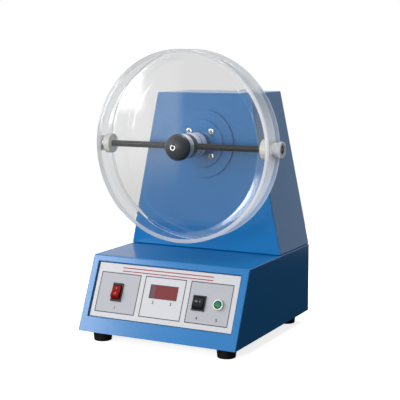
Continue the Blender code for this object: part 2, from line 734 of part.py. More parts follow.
def switch_body(name, x, place, bezel_width, bezel_length, material):
    """Rocker switch body: a bezel over the plate, a hollow case behind it and holes for the rocker's pin."""
    at = (x, place, 0.0)
    bezel_low = PLATE_FRONT + GAP
    bezel_high = bezel_low + BEZEL_HEIGHT
    body = centred(name, (bezel_width, bezel_length), bezel_low, bezel_high, material, panel, at)
    round_edges(body, EDGE, 2)
    opening = switch_opening_size(bezel_width, bezel_length)
    case_size = (opening[0] - 2 * GAP, opening[1] - 2 * GAP)
    case_low = PLATE_FRONT - SWITCH_BODY_DEPTH
    case = centred(name + "_case", case_size, case_low, bezel_low + BEZEL_HEIGHT / 2, None, panel, at)
    combine(body, case, "UNION")
    cavity_size = (case_size[0] - 2 * SWITCH_WALL, case_size[1] - 2 * SWITCH_WALL)
    pivot = PLATE_FRONT - ROCKER_PIVOT_DROP
    cavity_low = pivot - CAVITY_DEPTH_SHARE * cavity_size[1] / 2
    cavity = centred(name + "_cavity", cavity_size, cavity_low, bezel_high + OVERRUN, None, panel, at)
    combine(body, cavity)
    pin_hole = cylinder(name + "_pin_hole", ROCKER_PIN_RADIUS + GAP, -case_size[0], case_size[0], TINY_STEPS,
                        None, panel, (x, place, pivot), (0.0, math.pi / 2, 0.0))
    return combine(body, pin_hole)


def rocker(name, x, place, bezel_width, bezel_length, ridge_angle, material):
    """Rocker with round ends about its pivot and a hollowed top, at rest with its upper end pressed."""
    opening = switch_opening_size(bezel_width, bezel_length)
    width = opening[0] - 4 * GAP - 2 * SWITCH_WALL
    case_width = opening[0] - 2 * GAP
    end_radius = opening[1] / 2 - GAP - SWITCH_WALL - ROCKER_CLEARANCE
    ridge = math.radians(ridge_angle)
    half_chord = end_radius * math.sin(ridge)
    crest = end_radius * math.cos(ridge)
    outline = []
    hollow_steps = 6
    for step in range(1, hollow_steps):
        share = step / hollow_steps * 2 - 1
        outline.append((half_chord * share, crest - ROCKER_HOLLOW * (1 - share * share)))
    outline += arc((0.0, 0.0), end_radius, 90 - ridge_angle, 90 - ROCKER_END_ANGLE, 4)
    stem = end_radius * ROCKER_STEM_SHARE
    outline += [(stem, -stem), (-stem, -stem)]
    outline += arc((0.0, 0.0), end_radius, 90 + ROCKER_END_ANGLE, 90 + ridge_angle, 4)
    outline.reverse()
    upright = (math.pi / 2, 0.0, math.pi / 2)
    tilt = math.radians(-ROCKER_TILT)
    pivot = empty(name + "_pivot", (x, place, PLATE_FRONT - ROCKER_PIVOT_DROP), (tilt, 0.0, 0.0), panel)
    body = prism(name, outline, -width / 2, width / 2, material, pivot, turn=upright)
    pin = cylinder(name + "_pin", ROCKER_PIN_RADIUS, -case_width / 2, case_width / 2, TINY_STEPS, None, pivot,
                   turn=(0.0, math.pi / 2, 0.0))
    return combine(body, pin, "UNION")


def start_button_bezel(material):
    """Light metal bezel with its barrel through the panel, bored for the cap and its stem."""
    low = PLATE_FRONT + GAP
    high = low + BUTTON_BEZEL_HEIGHT
    end = PLATE_FRONT - BUTTON_BARREL_LENGTH
    cap_bore = BUTTON_CAP_RADIUS + GAP
    counterbore = high - BUTTON_CAP_DROP - BUTTON_CAP_HEIGHT - BUTTON_TRAVEL - GAP
    stem_bore = BUTTON_STEM_RADIUS + GAP
    outline = [(cap_bore, high), (BUTTON_BEZEL_RADIUS - HUB_EDGE, high),
               (BUTTON_BEZEL_RADIUS, high - HUB_EDGE), (BUTTON_BEZEL_RADIUS, low),
               (BUTTON_BARREL_RADIUS, low), (BUTTON_BARREL_RADIUS, end), (stem_bore, end),
               (stem_bore, counterbore), (cap_bore, counterbore)]
    return turned("start_button_bezel", outline, SMALL_STEPS, material, panel, (BUTTON_X, BUTTON_PLACE, 0.0))


def start_button_cap(material):
    """Green cap, crowned, with a stem in the barrel."""
    top = PLATE_FRONT + GAP + BUTTON_BEZEL_HEIGHT - BUTTON_CAP_DROP
    under = top - BUTTON_CAP_HEIGHT
    outline = [(0.0, top + BUTTON_CAP_CROWN), (BUTTON_CAP_RADIUS / 2, top + BUTTON_CAP_CROWN * 3 / 4),
               (BUTTON_CAP_RADIUS, top), (BUTTON_CAP_RADIUS, under), (BUTTON_STEM_RADIUS, under),
               (BUTTON_STEM_RADIUS, under - BUTTON_STEM_LENGTH), (0.0, under - BUTTON_STEM_LENGTH)]
    return turned("start_button_cap", outline, SMALL_STEPS, material, panel, (BUTTON_X, BUTTON_PLACE, 0.0))


def drum_shell(material):
    """Clear cup with a back wall, filleted inside and out, and a hole each side for the collars' necks."""
    hole = SLEEVE_RADIUS + GAP
    outline = [(hole, DRUM_BACK)]
    outline += arc((DRUM_OUTER_RADIUS - DRUM_OUTER_FILLET, DRUM_BACK - DRUM_OUTER_FILLET), DRUM_OUTER_FILLET,
                   90, 0, 2)
    outline += [(DRUM_OUTER_RADIUS, RIM_FRONT), (DRUM_INNER_RADIUS, RIM_FRONT)]
    outline += arc((DRUM_INNER_RADIUS - DRUM_INNER_FILLET, DRUM_FLOOR - DRUM_INNER_FILLET), DRUM_INNER_FILLET,
                   0, 90, 3)
    outline += [(hole, DRUM_FLOOR)]
    shell = turned("drum_shell", outline, DRUM_STEPS, material, drum_axis)
    neck_holes = cylinder("neck_holes", COLLAR_NECK_RADIUS + GAP, -NECK_END, NECK_END, SMALL_STEPS, None,
                          drum_axis, (0.0, 0.0, CROSSBAR_PLACE), (0.0, math.pi / 2, 0.0))
    return combine(shell, neck_holes)


def drum_cover(material):
    """Clear front disc with a locating step that fits in the drum's rim."""
    hole = STUD_RADIUS + GAP
    step = DRUM_INNER_RADIUS - GAP
    outline = [(hole, COVER_BACK), (step, COVER_BACK), (step, COVER_SHOULDER),
               (DRUM_OUTER_RADIUS, COVER_SHOULDER)]
    outline += arc((DRUM_OUTER_RADIUS - COVER_ROUND, COVER_FRONT + COVER_ROUND), COVER_ROUND, 0, -90, 1)
    outline += [(hole, COVER_FRONT)]
    return turned("drum_cover", outline, DRUM_STEPS, material, drum_axis)


def hub_sleeve(material):
    """Steel sleeve through the drum's back wall, bored from behind for the shaft."""
    bore = SHAFT_COLLAR_RADIUS + GAP
    outline = [(0.0, SLEEVE_BORE_END), (bore, SLEEVE_BORE_END), (bore, SLEEVE_BACK),
               (SLEEVE_RADIUS - HUB_EDGE, SLEEVE_BACK), (SLEEVE_RADIUS, SLEEVE_BACK - HUB_EDGE),
               (SLEEVE_RADIUS, SLEEVE_FRONT), (0.0, SLEEVE_FRONT)]
    return turned("hub_sleeve", outline, LARGE_STEPS, material, drum_axis)


def hub_block(material):
    """Dark hub block with the cross hole for the bar."""
    body = cylinder("hub_block", BLOCK_RADIUS, BLOCK_FRONT, BLOCK_BACK, LARGE_STEPS, material, drum_axis)
    reach = BLOCK_RADIUS + OVERRUN
    cross_hole = cylinder("cross_hole", CROSSBAR_RADIUS + GAP, -reach, reach, SMALL_STEPS, None, drum_axis,
                          (0.0, 0.0, CROSSBAR_PLACE), (0.0, math.pi / 2, 0.0))
    return combine(body, cross_hole)


def hub_ring(material):
    """Chrome ring behind the cover, in one piece with the stud for the knob."""
    outline = [(0.0, RING_BACK), (RING_RADIUS - HUB_EDGE, RING_BACK), (RING_RADIUS, RING_BACK - HUB_EDGE),
               (RING_RADIUS, RING_FRONT + HUB_EDGE), (RING_RADIUS - HUB_EDGE, RING_FRONT),
               (STUD_RADIUS, RING_FRONT), (STUD_RADIUS, STUD_TIP + HUB_EDGE),
               (STUD_RADIUS - HUB_EDGE, STUD_TIP), (0.0, STUD_TIP)]
    return turned("hub_ring", outline, LARGE_STEPS, material, drum_axis)


def crossbar(material):
    """Black bar across the drum, through the hub block and into both collars."""
    reach = CROSSBAR_REACH
    outline = [(0.0, reach), (CROSSBAR_RADIUS - EDGE, reach), (CROSSBAR_RADIUS, reach - EDGE),
               (CROSSBAR_RADIUS, EDGE - reach), (CROSSBAR_RADIUS - EDGE, -reach), (0.0, -reach)]
    return turned("crossbar", outline, SMALL_STEPS, material, drum_axis, (0.0, 0.0, CROSSBAR_PLACE),
                  (0.0, math.pi / 2, 0.0))


def collar(name, side, material):
    """Nylon collar inside the drum wall: a disc, a neck through the wall and a bore for the bar."""
    bore = CROSSBAR_RADIUS + GAP
    start = COLLAR_FACE - COLLAR_LENGTH
    bore_end = CROSSBAR_REACH + COLLAR_BORE_SPARE
    outline = [(0.0, NECK_END), (COLLAR_NECK_RADIUS, NECK_END), (COLLAR_NECK_RADIUS, COLLAR_FACE),
               (COLLAR_RADIUS - HUB_EDGE, COLLAR_FACE), (COLLAR_RADIUS, COLLAR_FACE - HUB_EDGE),
               (COLLAR_RADIUS, start + HUB_EDGE), (COLLAR_RADIUS - HUB_EDGE, start), (bore, start),
               (bore, bore_end), (0.0, bore_end)]
    return turned(name, outline, MEDIUM_STEPS, material, drum_axis, (0.0, 0.0, CROSSBAR_PLACE),
                  (0.0, side * math.pi / 2, 0.0))


def collar_nut(name, side, length, material):
    """Flanged nylon nut outside the drum wall, with a socket for the neck and a recess in its end."""
    end = NUT_FACE + length
    flange = end - NUT_FLANGE_LENGTH
    socket = COLLAR_NECK_RADIUS + GAP
    socket_end = NECK_END + NUT_SOCKET_SPARE
    recess = end - NUT_RECESS_DEPTH
    hole = recess - NUT_HOLE_DEPTH
    outline = [(0.0, hole), (NUT_HOLE_RADIUS, hole), (NUT_HOLE_RADIUS, recess),
               (NUT_RECESS_RADIUS - EDGE, recess), (NUT_RECESS_RADIUS, end),
               (NUT_FLANGE_RADIUS - HUB_EDGE, end), (NUT_FLANGE_RADIUS, end - HUB_EDGE),
               (NUT_FLANGE_RADIUS, flange), (NUT_BARREL_RADIUS, flange), (NUT_BARREL_RADIUS, NUT_FACE),
               (socket, NUT_FACE), (socket, socket_end), (0.0, socket_end)]
    return turned(name, outline, MEDIUM_STEPS, material, drum_axis, (0.0, 0.0, CROSSBAR_PLACE),
                  (0.0, side * math.pi / 2, 0.0))


def cover_knob(material):
    """Domed knob: a half ellipse of revolution on a short skirt, bored for the stud, its tip pocketed."""
    bore = STUD_RADIUS + GAP
    bore_end = STUD_TIP - KNOB_BORE_SPARE
    pocket = INSERT_RADIUS + GAP
    pocket_floor = KNOB_TIP + INSERT_HEIGHT
    equator = KNOB_BACK - KNOB_SKIRT
    dome = KNOB_HEIGHT - KNOB_SKIRT
    outline = [(0.0, bore_end), (bore, bore_end), (bore, KNOB_BACK), (KNOB_RADIUS - EDGE, KNOB_BACK),
               (KNOB_RADIUS, KNOB_BACK - EDGE)]
    last = math.acos(pocket / KNOB_RADIUS)
    dome_steps = 7
    for step in range(dome_steps + 1):
        angle = last * step / dome_steps
        outline.append((KNOB_RADIUS * math.cos(angle), equator - dome * math.sin(angle)))
    outline += [(pocket, pocket_floor), (0.0, pocket_floor)]
    return turned("cover_knob", outline, MEDIUM_STEPS, material, drum_axis)


def knob_insert(material):
    """Light ring set in the knob's tip."""
    floor = KNOB_TIP + INSERT_HEIGHT - GAP
    front = KNOB_TIP - INSERT_PROUD
    outline = [(INSERT_HOLE_RADIUS, floor), (INSERT_RADIUS, floor), (INSERT_RADIUS, front + EDGE / 2),
               (INSERT_RADIUS - EDGE / 2, front), (INSERT_HOLE_RADIUS, front)]
    return turned("knob_insert", outline, SMALL_STEPS, material, drum_axis)


def bearing_flange(material):
    """Stepped flange on the tower front, with a boss behind it that holds both bearings."""
    seat = BEARING_OUTER_RADIUS + GAP
    throat = BEARING_OUTER_RADIUS - BEARING_SHOULDER
    shaft_hole = SHAFT_COLLAR_RADIUS + GAP
    front_seat_end = FRONT_BEARING + BEARING_WIDTH + GAP
    rear_seat_start = REAR_BEARING - GAP
    outline = [(seat, BOSS_END), (BOSS_RADIUS, BOSS_END), (BOSS_RADIUS, FLANGE_BACK),
               (FLANGE_RADIUS, FLANGE_BACK), (FLANGE_RADIUS, FLANGE_FRONT + EDGE),
               (FLANGE_RADIUS - EDGE, FLANGE_FRONT),
               (FLANGE_STEP_RADIUS, FLANGE_FRONT), (FLANGE_STEP_RADIUS, STEP_FRONT + EDGE),
               (FLANGE_STEP_RADIUS - EDGE, STEP_FRONT), (shaft_hole, STEP_FRONT),
               (shaft_hole, FRONT_BEARING - GAP), (seat, FRONT_BEARING - GAP), (seat, front_seat_end),
               (throat, front_seat_end), (throat, rear_seat_start), (seat, rear_seat_start)]
    flange = turned("bearing_flange", outline, LARGE_STEPS, material, fixed_axis)
    for hole in screw_holes("flange", STEP_FRONT - OVERRUN, FLANGE_BACK + OVERRUN):
        combine(flange, hole)
    return flange


def flange_screw(number, place, material):
    """Pan-head screw through the flange and the tower front."""
    head_back = STEP_FRONT - GAP
    head_front = head_back - SCREW_HEAD_HEIGHT
    end = TOWER_INSIDE + SCREW_REACH
    outline = [(0.0, end), (SCREW_RADIUS, end), (SCREW_RADIUS, head_back), (SCREW_HEAD_RADIUS, head_back),
               (SCREW_HEAD_RADIUS, head_back - SCREW_HEAD_HEIGHT / 2),
               (SCREW_HEAD_RADIUS * 4 / 5, head_front + EDGE / 2), (SCREW_HEAD_RADIUS / 2, head_front),
               (0.0, head_front)]
    return turned(f"flange_screw_{number}", outline, TINY_STEPS, material, fixed_axis, (*place, 0.0))


def ring(name, inner, outer, low, high, steps, material, parent):
    """A plain ring."""
    outline = [(inner, high), (outer, high), (outer, low), (inner, low)]
    return turned(name, outline, steps, material, parent)


def bearing(name, low, steel, cage):
    """Ball bearing as outer ring, inner ring on the shaft, and the balls in their cage between them."""
    high = low + BEARING_WIDTH
    outer_bore = BEARING_OUTER_RADIUS - BEARING_RACE
    inner_outside = BEARING_INNER_RADIUS + BEARING_RACE
    ring(name + "_outer_ring", outer_bore, BEARING_OUTER_RADIUS, low, high, SMALL_STEPS, steel, fixed_axis)
    ring(name + "_inner_ring", BEARING_INNER_RADIUS, inner_outside, low, high, SMALL_STEPS, steel, drum_axis)
    middle_radius = (outer_bore + inner_outside) / 2
    ball = (outer_bore - inner_outside) / 2 - GAP
    outline = arc((middle_radius, low + BEARING_WIDTH / 2), ball, 90, -180, 4)
    turned(name + "_ball_ring", outline, SMALL_STEPS, cage, fixed_axis)


def drive_shaft(material):
    """Stepped shaft from the sleeve through both bearings to the coupling."""
    outline = [(0.0, SHAFT_END), (SHAFT_TAIL_RADIUS, SHAFT_END), (SHAFT_TAIL_RADIUS, SHAFT_TAIL),
               (SHAFT_RADIUS, SHAFT_TAIL), (SHAFT_RADIUS, SHAFT_SHOULDER),
               (SHAFT_COLLAR_RADIUS, SHAFT_SHOULDER), (SHAFT_COLLAR_RADIUS, SHAFT_FRONT), (0.0, SHAFT_FRONT)]
    return turned("drive_shaft", outline, SMALL_STEPS, material, drum_axis)


def count_disc(material):
    """Disc with one slot in its rim, on a small hub, that the sensor counts."""
    bore = SHAFT_TAIL_RADIUS + GAP
    outline = [(bore, DISC_BACK), (DISC_RADIUS, DISC_BACK), (DISC_RADIUS, DISC_FRONT),
               (DISC_HUB_RADIUS, DISC_FRONT), (DISC_HUB_RADIUS, DISC_HUB_FRONT), (bore, DISC_HUB_FRONT)]
    disc = turned("count_disc", outline, MEDIUM_STEPS, material, drum_axis)
    slot_low = (-DISC_SLOT_WIDTH / 2, DISC_RADIUS - DISC_SLOT_DEPTH, DISC_FRONT - OVERRUN)
    slot_high = (DISC_SLOT_WIDTH / 2, DISC_RADIUS + OVERRUN, DISC_BACK + OVERRUN)
    return combine(disc, block("disc_slot", slot_low, slot_high, None, drum_axis))


def count_sensor(material):
    """Forked optical sensor on the boss, over the disc's rim."""
    half = SENSOR_WIDTH / 2
    front = BOSS_END + GAP
    slot_front = DISC_FRONT - SENSOR_SLOT_CLEARANCE
    slot_back = DISC_BACK + SENSOR_SLOT_CLEARANCE
    low = (-half, -SENSOR_HIGH_RADIUS, front)
    high = (half, -SENSOR_LOW_RADIUS, slot_back + SENSOR_LEG)
    sensor = block("count_sensor", low, high, material, fixed_axis)
    slot_low = (-half - OVERRUN, SENSOR_BRIDGE - SENSOR_HIGH_RADIUS, slot_front)
    slot_high = (half + OVERRUN, OVERRUN - SENSOR_LOW_RADIUS, slot_back)
    return combine(sensor, block("sensor_slot", slot_low, slot_high, None, fixed_axis))


def sector(name, inner, outer, low, high, middle, span, material, parent):
    """A piece of a ring about the axis, span degrees wide."""
    steps = 2
    outline = arc((0.0, 0.0), outer, middle - span / 2, middle + span / 2, steps)
    outline += arc((0.0, 0.0), inner, middle + span / 2, middle - span / 2, steps)
    return prism(name, outline, low, high, material, parent)


def coupling_hub(name, low, high, jaw_low, jaw_high, first_angle, material):
    """Half of the jaw coupling: a bored hub with jaws that stand off one end."""
    bore = SHAFT_TAIL_RADIUS + GAP
    hub = ring(name, bore, COUPLING_RADIUS, low, high, SMALL_STEPS, material, drum_axis)
    jaw_outside = COUPLING_RADIUS - EDGE
    for number in range(COUPLING_JAW_COUNT):
        middle = first_angle + 360 * number / COUPLING_JAW_COUNT
        jaw = sector(f"{name}_jaw_{number + 1}", COUPLING_CORE_RADIUS, jaw_outside, jaw_low, jaw_high, middle,
                     COUPLING_JAW_ANGLE, None, drum_axis)
        combine(hub, jaw, "UNION")
    return hub


def coupling_spider(material):
    """Rubber spider: a ring with a leg between each pair of jaws."""
    low = JAW_START + GAP
    high = JAW_END - GAP
    spider = ring("coupling_spider", SPIDER_HOLE_RADIUS, COUPLING_CORE_RADIUS - GAP, low, high, SMALL_STEPS,
                  material, drum_axis)
    legs = 2 * COUPLING_JAW_COUNT
    leg_root = (SPIDER_HOLE_RADIUS + COUPLING_CORE_RADIUS) / 2
    leg_end = COUPLING_RADIUS - EDGE
    for number in range(legs):
        middle = 360 * (number + 1 / 2) / legs
        leg = sector(f"spider_leg_{number + 1}", leg_root, leg_end, low + EDGE, high - EDGE, middle,
                     COUPLING_LEG_ANGLE, None, drum_axis)
        combine(spider, leg, "UNION")
    return spider


def gearbox_shaft(material):
    """Output shaft of the gearbox."""
    front = COUPLING_BACK - COUPLING_HUB_LENGTH + GAP
    back = GEARBOX_FRONT + GEAR_SHAFT_SEAT
    return cylinder("gearbox_shaft", GEAR_SHAFT_RADIUS, front, back, SMALL_STEPS, material, drum_axis)


def motor_bracket(material):
    """Hat-shaped bracket from the tower front to the gearbox: its line in plan, raised and given its wall."""
    front = TOWER_INSIDE + GAP
    outside = BRACKET_SPREAD + BRACKET_FOOT
    half = BRACKET_HEIGHT / 2
    plan = [(outside, front), (BRACKET_SPREAD, front), (BRACKET_SPREAD, BRACKET_BACK),
            (-BRACKET_SPREAD, BRACKET_BACK), (-BRACKET_SPREAD, front), (-outside, front)]
    bm = bmesh.new()
    verts = [bm.verts.new((x, y, AXIS_HEIGHT - half)) for x, y in plan]
    edges = [bm.edges.new(pair) for pair in zip(verts, verts[1:])]
    raised = bmesh.ops.extrude_edge_only(bm, edges=edges)
    top = [item for item in raised["geom"] if isinstance(item, bmesh.types.BMVert)]
    bmesh.ops.translate(bm, vec=(0.0, 0.0, BRACKET_HEIGHT), verts=top)
    bracket = add("motor_bracket", bm, material, assembly)
    thicken(bracket, BRACKET_SHEET)
    hole_radius = GEARBOX_BOSS_RADIUS + GAP
    hole = cylinder("bracket_hole", hole_radius, BRACKET_BACK - OVERRUN, GEARBOX_FRONT + OVERRUN,
                    MEDIUM_STEPS, None, fixed_axis)
    return combine(bracket, hole)


def gearbox(material):
    """Square gearbox with rounded corners and a round boss that carries its output shaft."""
    bm = bmesh.new()
    bmesh.ops.create_cube(bm, size=1.0)
    bmesh.ops.scale(bm, vec=(GEARBOX_SIZE, GEARBOX_SIZE, GEARBOX_LENGTH), verts=bm.verts)
    bmesh.ops.translate(bm, vec=(0.0, 0.0, (GEARBOX_FRONT + GEARBOX_BACK) / 2), verts=bm.verts)
    upright = [edge for edge in bm.edges if abs(edge.verts[0].co.z - edge.verts[1].co.z) > GEARBOX_LENGTH / 2]
    bmesh.ops.bevel(bm, geom=upright, offset=GEARBOX_CORNER, segments=3, profile=0.5, affect="EDGES")
    case = add("gearbox", bm, material, fixed_axis)
    boss = cylinder("gearbox_boss", GEARBOX_BOSS_RADIUS, GEARBOX_FRONT - GEARBOX_BOSS_LENGTH,
                    GEARBOX_FRONT + OVERRUN, MEDIUM_STEPS, None, fixed_axis)
    combine(case, boss, "UNION")
    bore = cylinder("gearbox_bore", GEAR_SHAFT_RADIUS + GAP, GEARBOX_FRONT - GEARBOX_BOSS_LENGTH - OVERRUN,
                    GEARBOX_FRONT + GEAR_SHAFT_SEAT + GAP, SMALL_STEPS, None, fixed_axis)
    return combine(case, bore)


def drive_motor(material):
    """Round motor can behind the gearbox."""
    back = MOTOR_FRONT + MOTOR_LENGTH
    outline = [(0.0, back), (MOTOR_RADIUS - MOTOR_EDGE, back), (MOTOR_RADIUS, back - MOTOR_EDGE),
               (MOTOR_RADIUS, MOTOR_FRONT), (0.0, MOTOR_FRONT)]
    return turned("drive_motor", outline, MEDIUM_STEPS, material, fixed_axis)


def control_board(material):
    """Circuit board on the tray's pillars, with its relay, chip and capacitor."""
    low = TRAY_FLOOR + PILLAR_HEIGHT + GAP
    high = low + BOARD_THICKNESS
    at = (BOARD_X, BOARD_Y, 0.0)
    board = centred("control_board", (BOARD_WIDTH, BOARD_DEPTH), low, high, material, assembly, at)
    root = low + BOARD_THICKNESS / 2
    relay_at = (BOARD_X - BOARD_WIDTH / 4, BOARD_Y + BOARD_DEPTH / 4, 0.0)
    chip_at = (BOARD_X, BOARD_Y - BOARD_DEPTH / 6, 0.0)
    capacitor_at = (BOARD_X + BOARD_WIDTH / 4, BOARD_Y + BOARD_DEPTH / 4, 0.0)
    relay = centred("relay", (RELAY_WIDTH, RELAY_DEPTH), root, high + RELAY_HEIGHT, None, assembly, relay_at)
    chip = centred("chip", (CHIP_WIDTH, CHIP_DEPTH), root, high + CHIP_HEIGHT, None, assembly, chip_at)
    capacitor = cylinder("capacitor", CAPACITOR_RADIUS, root, high + CAPACITOR_HEIGHT, SMALL_STEPS, None,
                         assembly, capacitor_at)
    for component in (relay, chip, capacitor):
        combine(board, component, "UNION")
    return board


def transformer_core(material):
    """Laminated core with two windows, standing on the tray."""
    low = TRAY_FLOOR + GAP
    at = (TRANSFORMER_X, TRANSFORMER_Y, low)
    core = centred("transformer_core", (CORE_WIDTH, CORE_DEPTH), 0.0, CORE_HEIGHT, material, assembly, at)
    window_high = CORE_HEIGHT - CORE_YOKE
    for side in (-1, 1):
        near = side * CORE_CENTRE_LEG / 2
        far = side * (CORE_WIDTH / 2 - CORE_LEG)
        corner_low = (min(near, far), -CORE_DEPTH / 2 - OVERRUN, CORE_YOKE)
        corner_high = (max(near, far), CORE_DEPTH / 2 + OVERRUN, window_high)
        combine(core, block(f"core_window_{side}", corner_low, corner_high, None, assembly, at))
    return core


def transformer_winding(material):
    """Winding round the core's centre leg."""
    low = TRAY_FLOOR + GAP
    at = (TRANSFORMER_X, TRANSFORMER_Y, low)
    inner = (CORE_CENTRE_LEG + 2 * WINDING_SPARE, CORE_DEPTH + 2 * WINDING_SPARE)
    outer = (inner[0] + 2 * WINDING_BUILD, inner[1] + 2 * WINDING_BUILD)
    bottom = CORE_YOKE + WINDING_SPARE
    top = CORE_HEIGHT - CORE_YOKE - WINDING_SPARE
    winding = centred("transformer_winding", outer, bottom, top, material, assembly, at)
    round_edges(winding, WINDING_BUILD / 4, 1)
    core_hole = centred("winding_hole", inner, bottom - OVERRUN, top + OVERRUN, None, assembly, at)
    return combine(winding, core_hole)


def mains_inlet(material):
    """Mains inlet: a flange on the rear wall, a case behind it and a socket with two cut corners."""
    size = (INLET_FLANGE_WIDTH, INLET_FLANGE_HEIGHT)
    inlet = centred("mains_inlet", size, GAP, GAP + INLET_FLANGE_THICKNESS, material, inlet_face)
    round_edges(inlet, EDGE, 2)
    case_size = (INLET_BODY_WIDTH, INLET_BODY_HEIGHT)
    root = GAP + INLET_FLANGE_THICKNESS / 2
    case = centred("inlet_case", case_size, -INLET_BODY_DEPTH, root, None, inlet_face)
    combine(inlet, case, "UNION")
    x = INLET_SOCKET_WIDTH / 2
    y = INLET_SOCKET_HEIGHT / 2
    cut = INLET_SOCKET_CHAMFER
    outline = [(-x, -y), (x, -y), (x, y - cut), (x - cut, y), (cut - x, y), (-x, y - cut)]
    mouth = GAP + INLET_FLANGE_THICKNESS
    socket = prism("inlet_socket", outline, mouth - INLET_SOCKET_DEPTH, mouth + OVERRUN, None, inlet_face)
    return combine(inlet, socket)


def inlet_pin(name, x, y, material):
    """Flat pin standing on the socket's floor."""
    floor = GAP + INLET_FLANGE_THICKNESS - INLET_SOCKET_DEPTH + GAP
    pin = centred(name, (PIN_WIDTH, PIN_HEIGHT), floor, floor + PIN_LENGTH, material, inlet_face, (x, y, 0.0))
    return round_edges(pin, EDGE / 2, 1)


def fuse_holder(material):
    """Round fuse holder through the rear wall, bored for the cap's plug."""
    low = GAP
    high = low + FUSE_FLANGE_THICKNESS
    floor = high - FUSE_BORE_DEPTH
    outline = [(0.0, floor), (FUSE_BORE_RADIUS, floor), (FUSE_BORE_RADIUS, high),
               (FUSE_FLANGE_RADIUS - EDGE, high), (FUSE_FLANGE_RADIUS, high - EDGE),
               (FUSE_FLANGE_RADIUS, low), (FUSE_BODY_RADIUS, low), (FUSE_BODY_RADIUS, -FUSE_BODY_LENGTH),
               (0.0, -FUSE_BODY_LENGTH)]
    return turned("fuse_holder", outline, SMALL_STEPS, material, fuse_face)


def fuse_cap(material):
    """Cap of the fuse holder, with a plug in the bore and a screwdriver slot."""
    under = GAP + FUSE_FLANGE_THICKNESS + GAP
    top = under + FUSE_CAP_HEIGHT
    plug_end = under - FUSE_PLUG_LENGTH
    outline = [(0.0, top), (FUSE_CAP_RADIUS - EDGE, top), (FUSE_CAP_RADIUS, top - EDGE),
               (FUSE_CAP_RADIUS, under), (FUSE_PLUG_RADIUS, under), (FUSE_PLUG_RADIUS, plug_end),
               (0.0, plug_end)]
    cap = turned("fuse_cap", outline, SMALL_STEPS, material, fuse_face)
    slot_size = (FUSE_SLOT_WIDTH, FUSE_CAP_RADIUS * 3)
    slot = centred("fuse_slot", slot_size, top - FUSE_SLOT_DEPTH, top + OVERRUN, None, fuse_face)
    return combine(cap, slot)


def clear_scene():
    """Removes what the scene holds."""
    for thing in list(bpy.data.objects):
        bpy.data.objects.remove(thing, do_unlink=True)


def collection(name, parent):
    """A new collection in the scene."""
    group = bpy.data.collections.new(name)
    parent.children.link(group)
    return group


clear_scene()
parts = collection(OBJECT_NAME, bpy.context.scene.collection)
cutters = collection("cutters", bpy.context.scene.collection)

# Materials
blue_paint = paint("blue_paint", (0.04, 0.2, 0.45), 0.35)
white_plate = paint("white_plate", (0.75, 0.76, 0.8), 0.5)
black_rubber = paint("black_rubber", (0.02, 0.02, 0.022), 0.8)
clear_acrylic = paint("clear_acrylic", (0.92, 0.95, 0.96), 0.05, alpha=0.3)
red_filter = paint("red_filter", (0.24, 0.05, 0.06), 0.15)
black_plastic = paint("black_plastic", (0.015, 0.015, 0.017), 0.4)
red_plastic = paint("red_plastic", (0.6, 0.02, 0.015), 0.25)
green_plastic = paint("green_plastic", (0.01, 0.3, 0.1), 0.25)
nylon = paint("nylon", (0.7, 0.7, 0.66), 0.45)
chrome = paint("chrome", (0.8, 0.8, 0.82), 0.1, 1.0)
steel = paint("steel", (0.6, 0.6, 0.62), 0.3, 1.0)
brass = paint("brass", (0.7, 0.5, 0.2), 0.3, 1.0)
zinc = paint("zinc", (0.55, 0.56, 0.58), 0.4, 1.0)
circuit_green = paint("circuit_green", (0.02, 0.2, 0.08), 0.5)
copper = paint("copper", (0.6, 0.25, 0.12), 0.35, 1.0)
iron = paint("iron", (0.25, 0.25, 0.26), 0.6, 1.0)

# Parents: the whole object, the sloping panel, the drum's axis and the rear fittings
shift_x = (LEFT_REACH - RIGHT_REACH) / 2
shift_y = (-FRONT_Y - REAR_REACH) / 2
assembly = empty("assembly", (shift_x, shift_y, 0.0))
panel = empty("panel_face", (0.0, FRONT_Y, FOOT_HEIGHT), (math.pi / 2 - PANEL_TILT, 0.0, 0.0), assembly)
along_axis = (-math.pi / 2, 0.0, 0.0)
fixed_axis = empty("fixed_axis", (0.0, 0.0, AXIS_HEIGHT), along_axis, assembly)
drum_axis = empty("drum_axis", (0.0, 0.0, AXIS_HEIGHT), along_axis, assembly)
facing_back = (-math.pi / 2, math.pi, 0.0)
inlet_face = empty("inlet_face", (INLET_X, REAR_Y, INLET_HEIGHT), facing_back, assembly)
fuse_face = empty("fuse_face", (FUSE_X, REAR_Y, INLET_HEIGHT), facing_back, assembly)

# Casings and feet
base_housing(blue_paint)
base_plate(zinc)
foot("foot_front_left", -1, -1, black_rubber)
foot("foot_front_right", 1, -1, black_rubber)
foot("foot_rear_left", -1, 1, black_rubber)
foot("foot_rear_right", 1, 1, black_rubber)
tower_housing(blue_paint)
tower_rear_cover(blue_paint)

# Control panel
panel_plate(white_plate)
display_window(red_filter)
display_module(circuit_green)
switch_body("power_switch_body", POWER_SWITCH_X, POWER_SWITCH_PLACE, POWER_BEZEL_WIDTH, POWER_BEZEL_LENGTH,
            black_plastic)
rocker("power_rocker", POWER_SWITCH_X, POWER_SWITCH_PLACE, POWER_BEZEL_WIDTH, POWER_BEZEL_LENGTH,
       POWER_RIDGE_ANGLE, red_plastic)
switch_body("timer_switch_body", TIMER_SWITCH_X, TIMER_SWITCH_PLACE, TIMER_BEZEL_WIDTH, TIMER_BEZEL_LENGTH,
            black_plastic)
rocker("timer_rocker", TIMER_SWITCH_X, TIMER_SWITCH_PLACE, TIMER_BEZEL_WIDTH, TIMER_BEZEL_LENGTH,
       TIMER_RIDGE_ANGLE, black_plastic)
start_button_bezel(chrome)
start_button_cap(green_plastic)

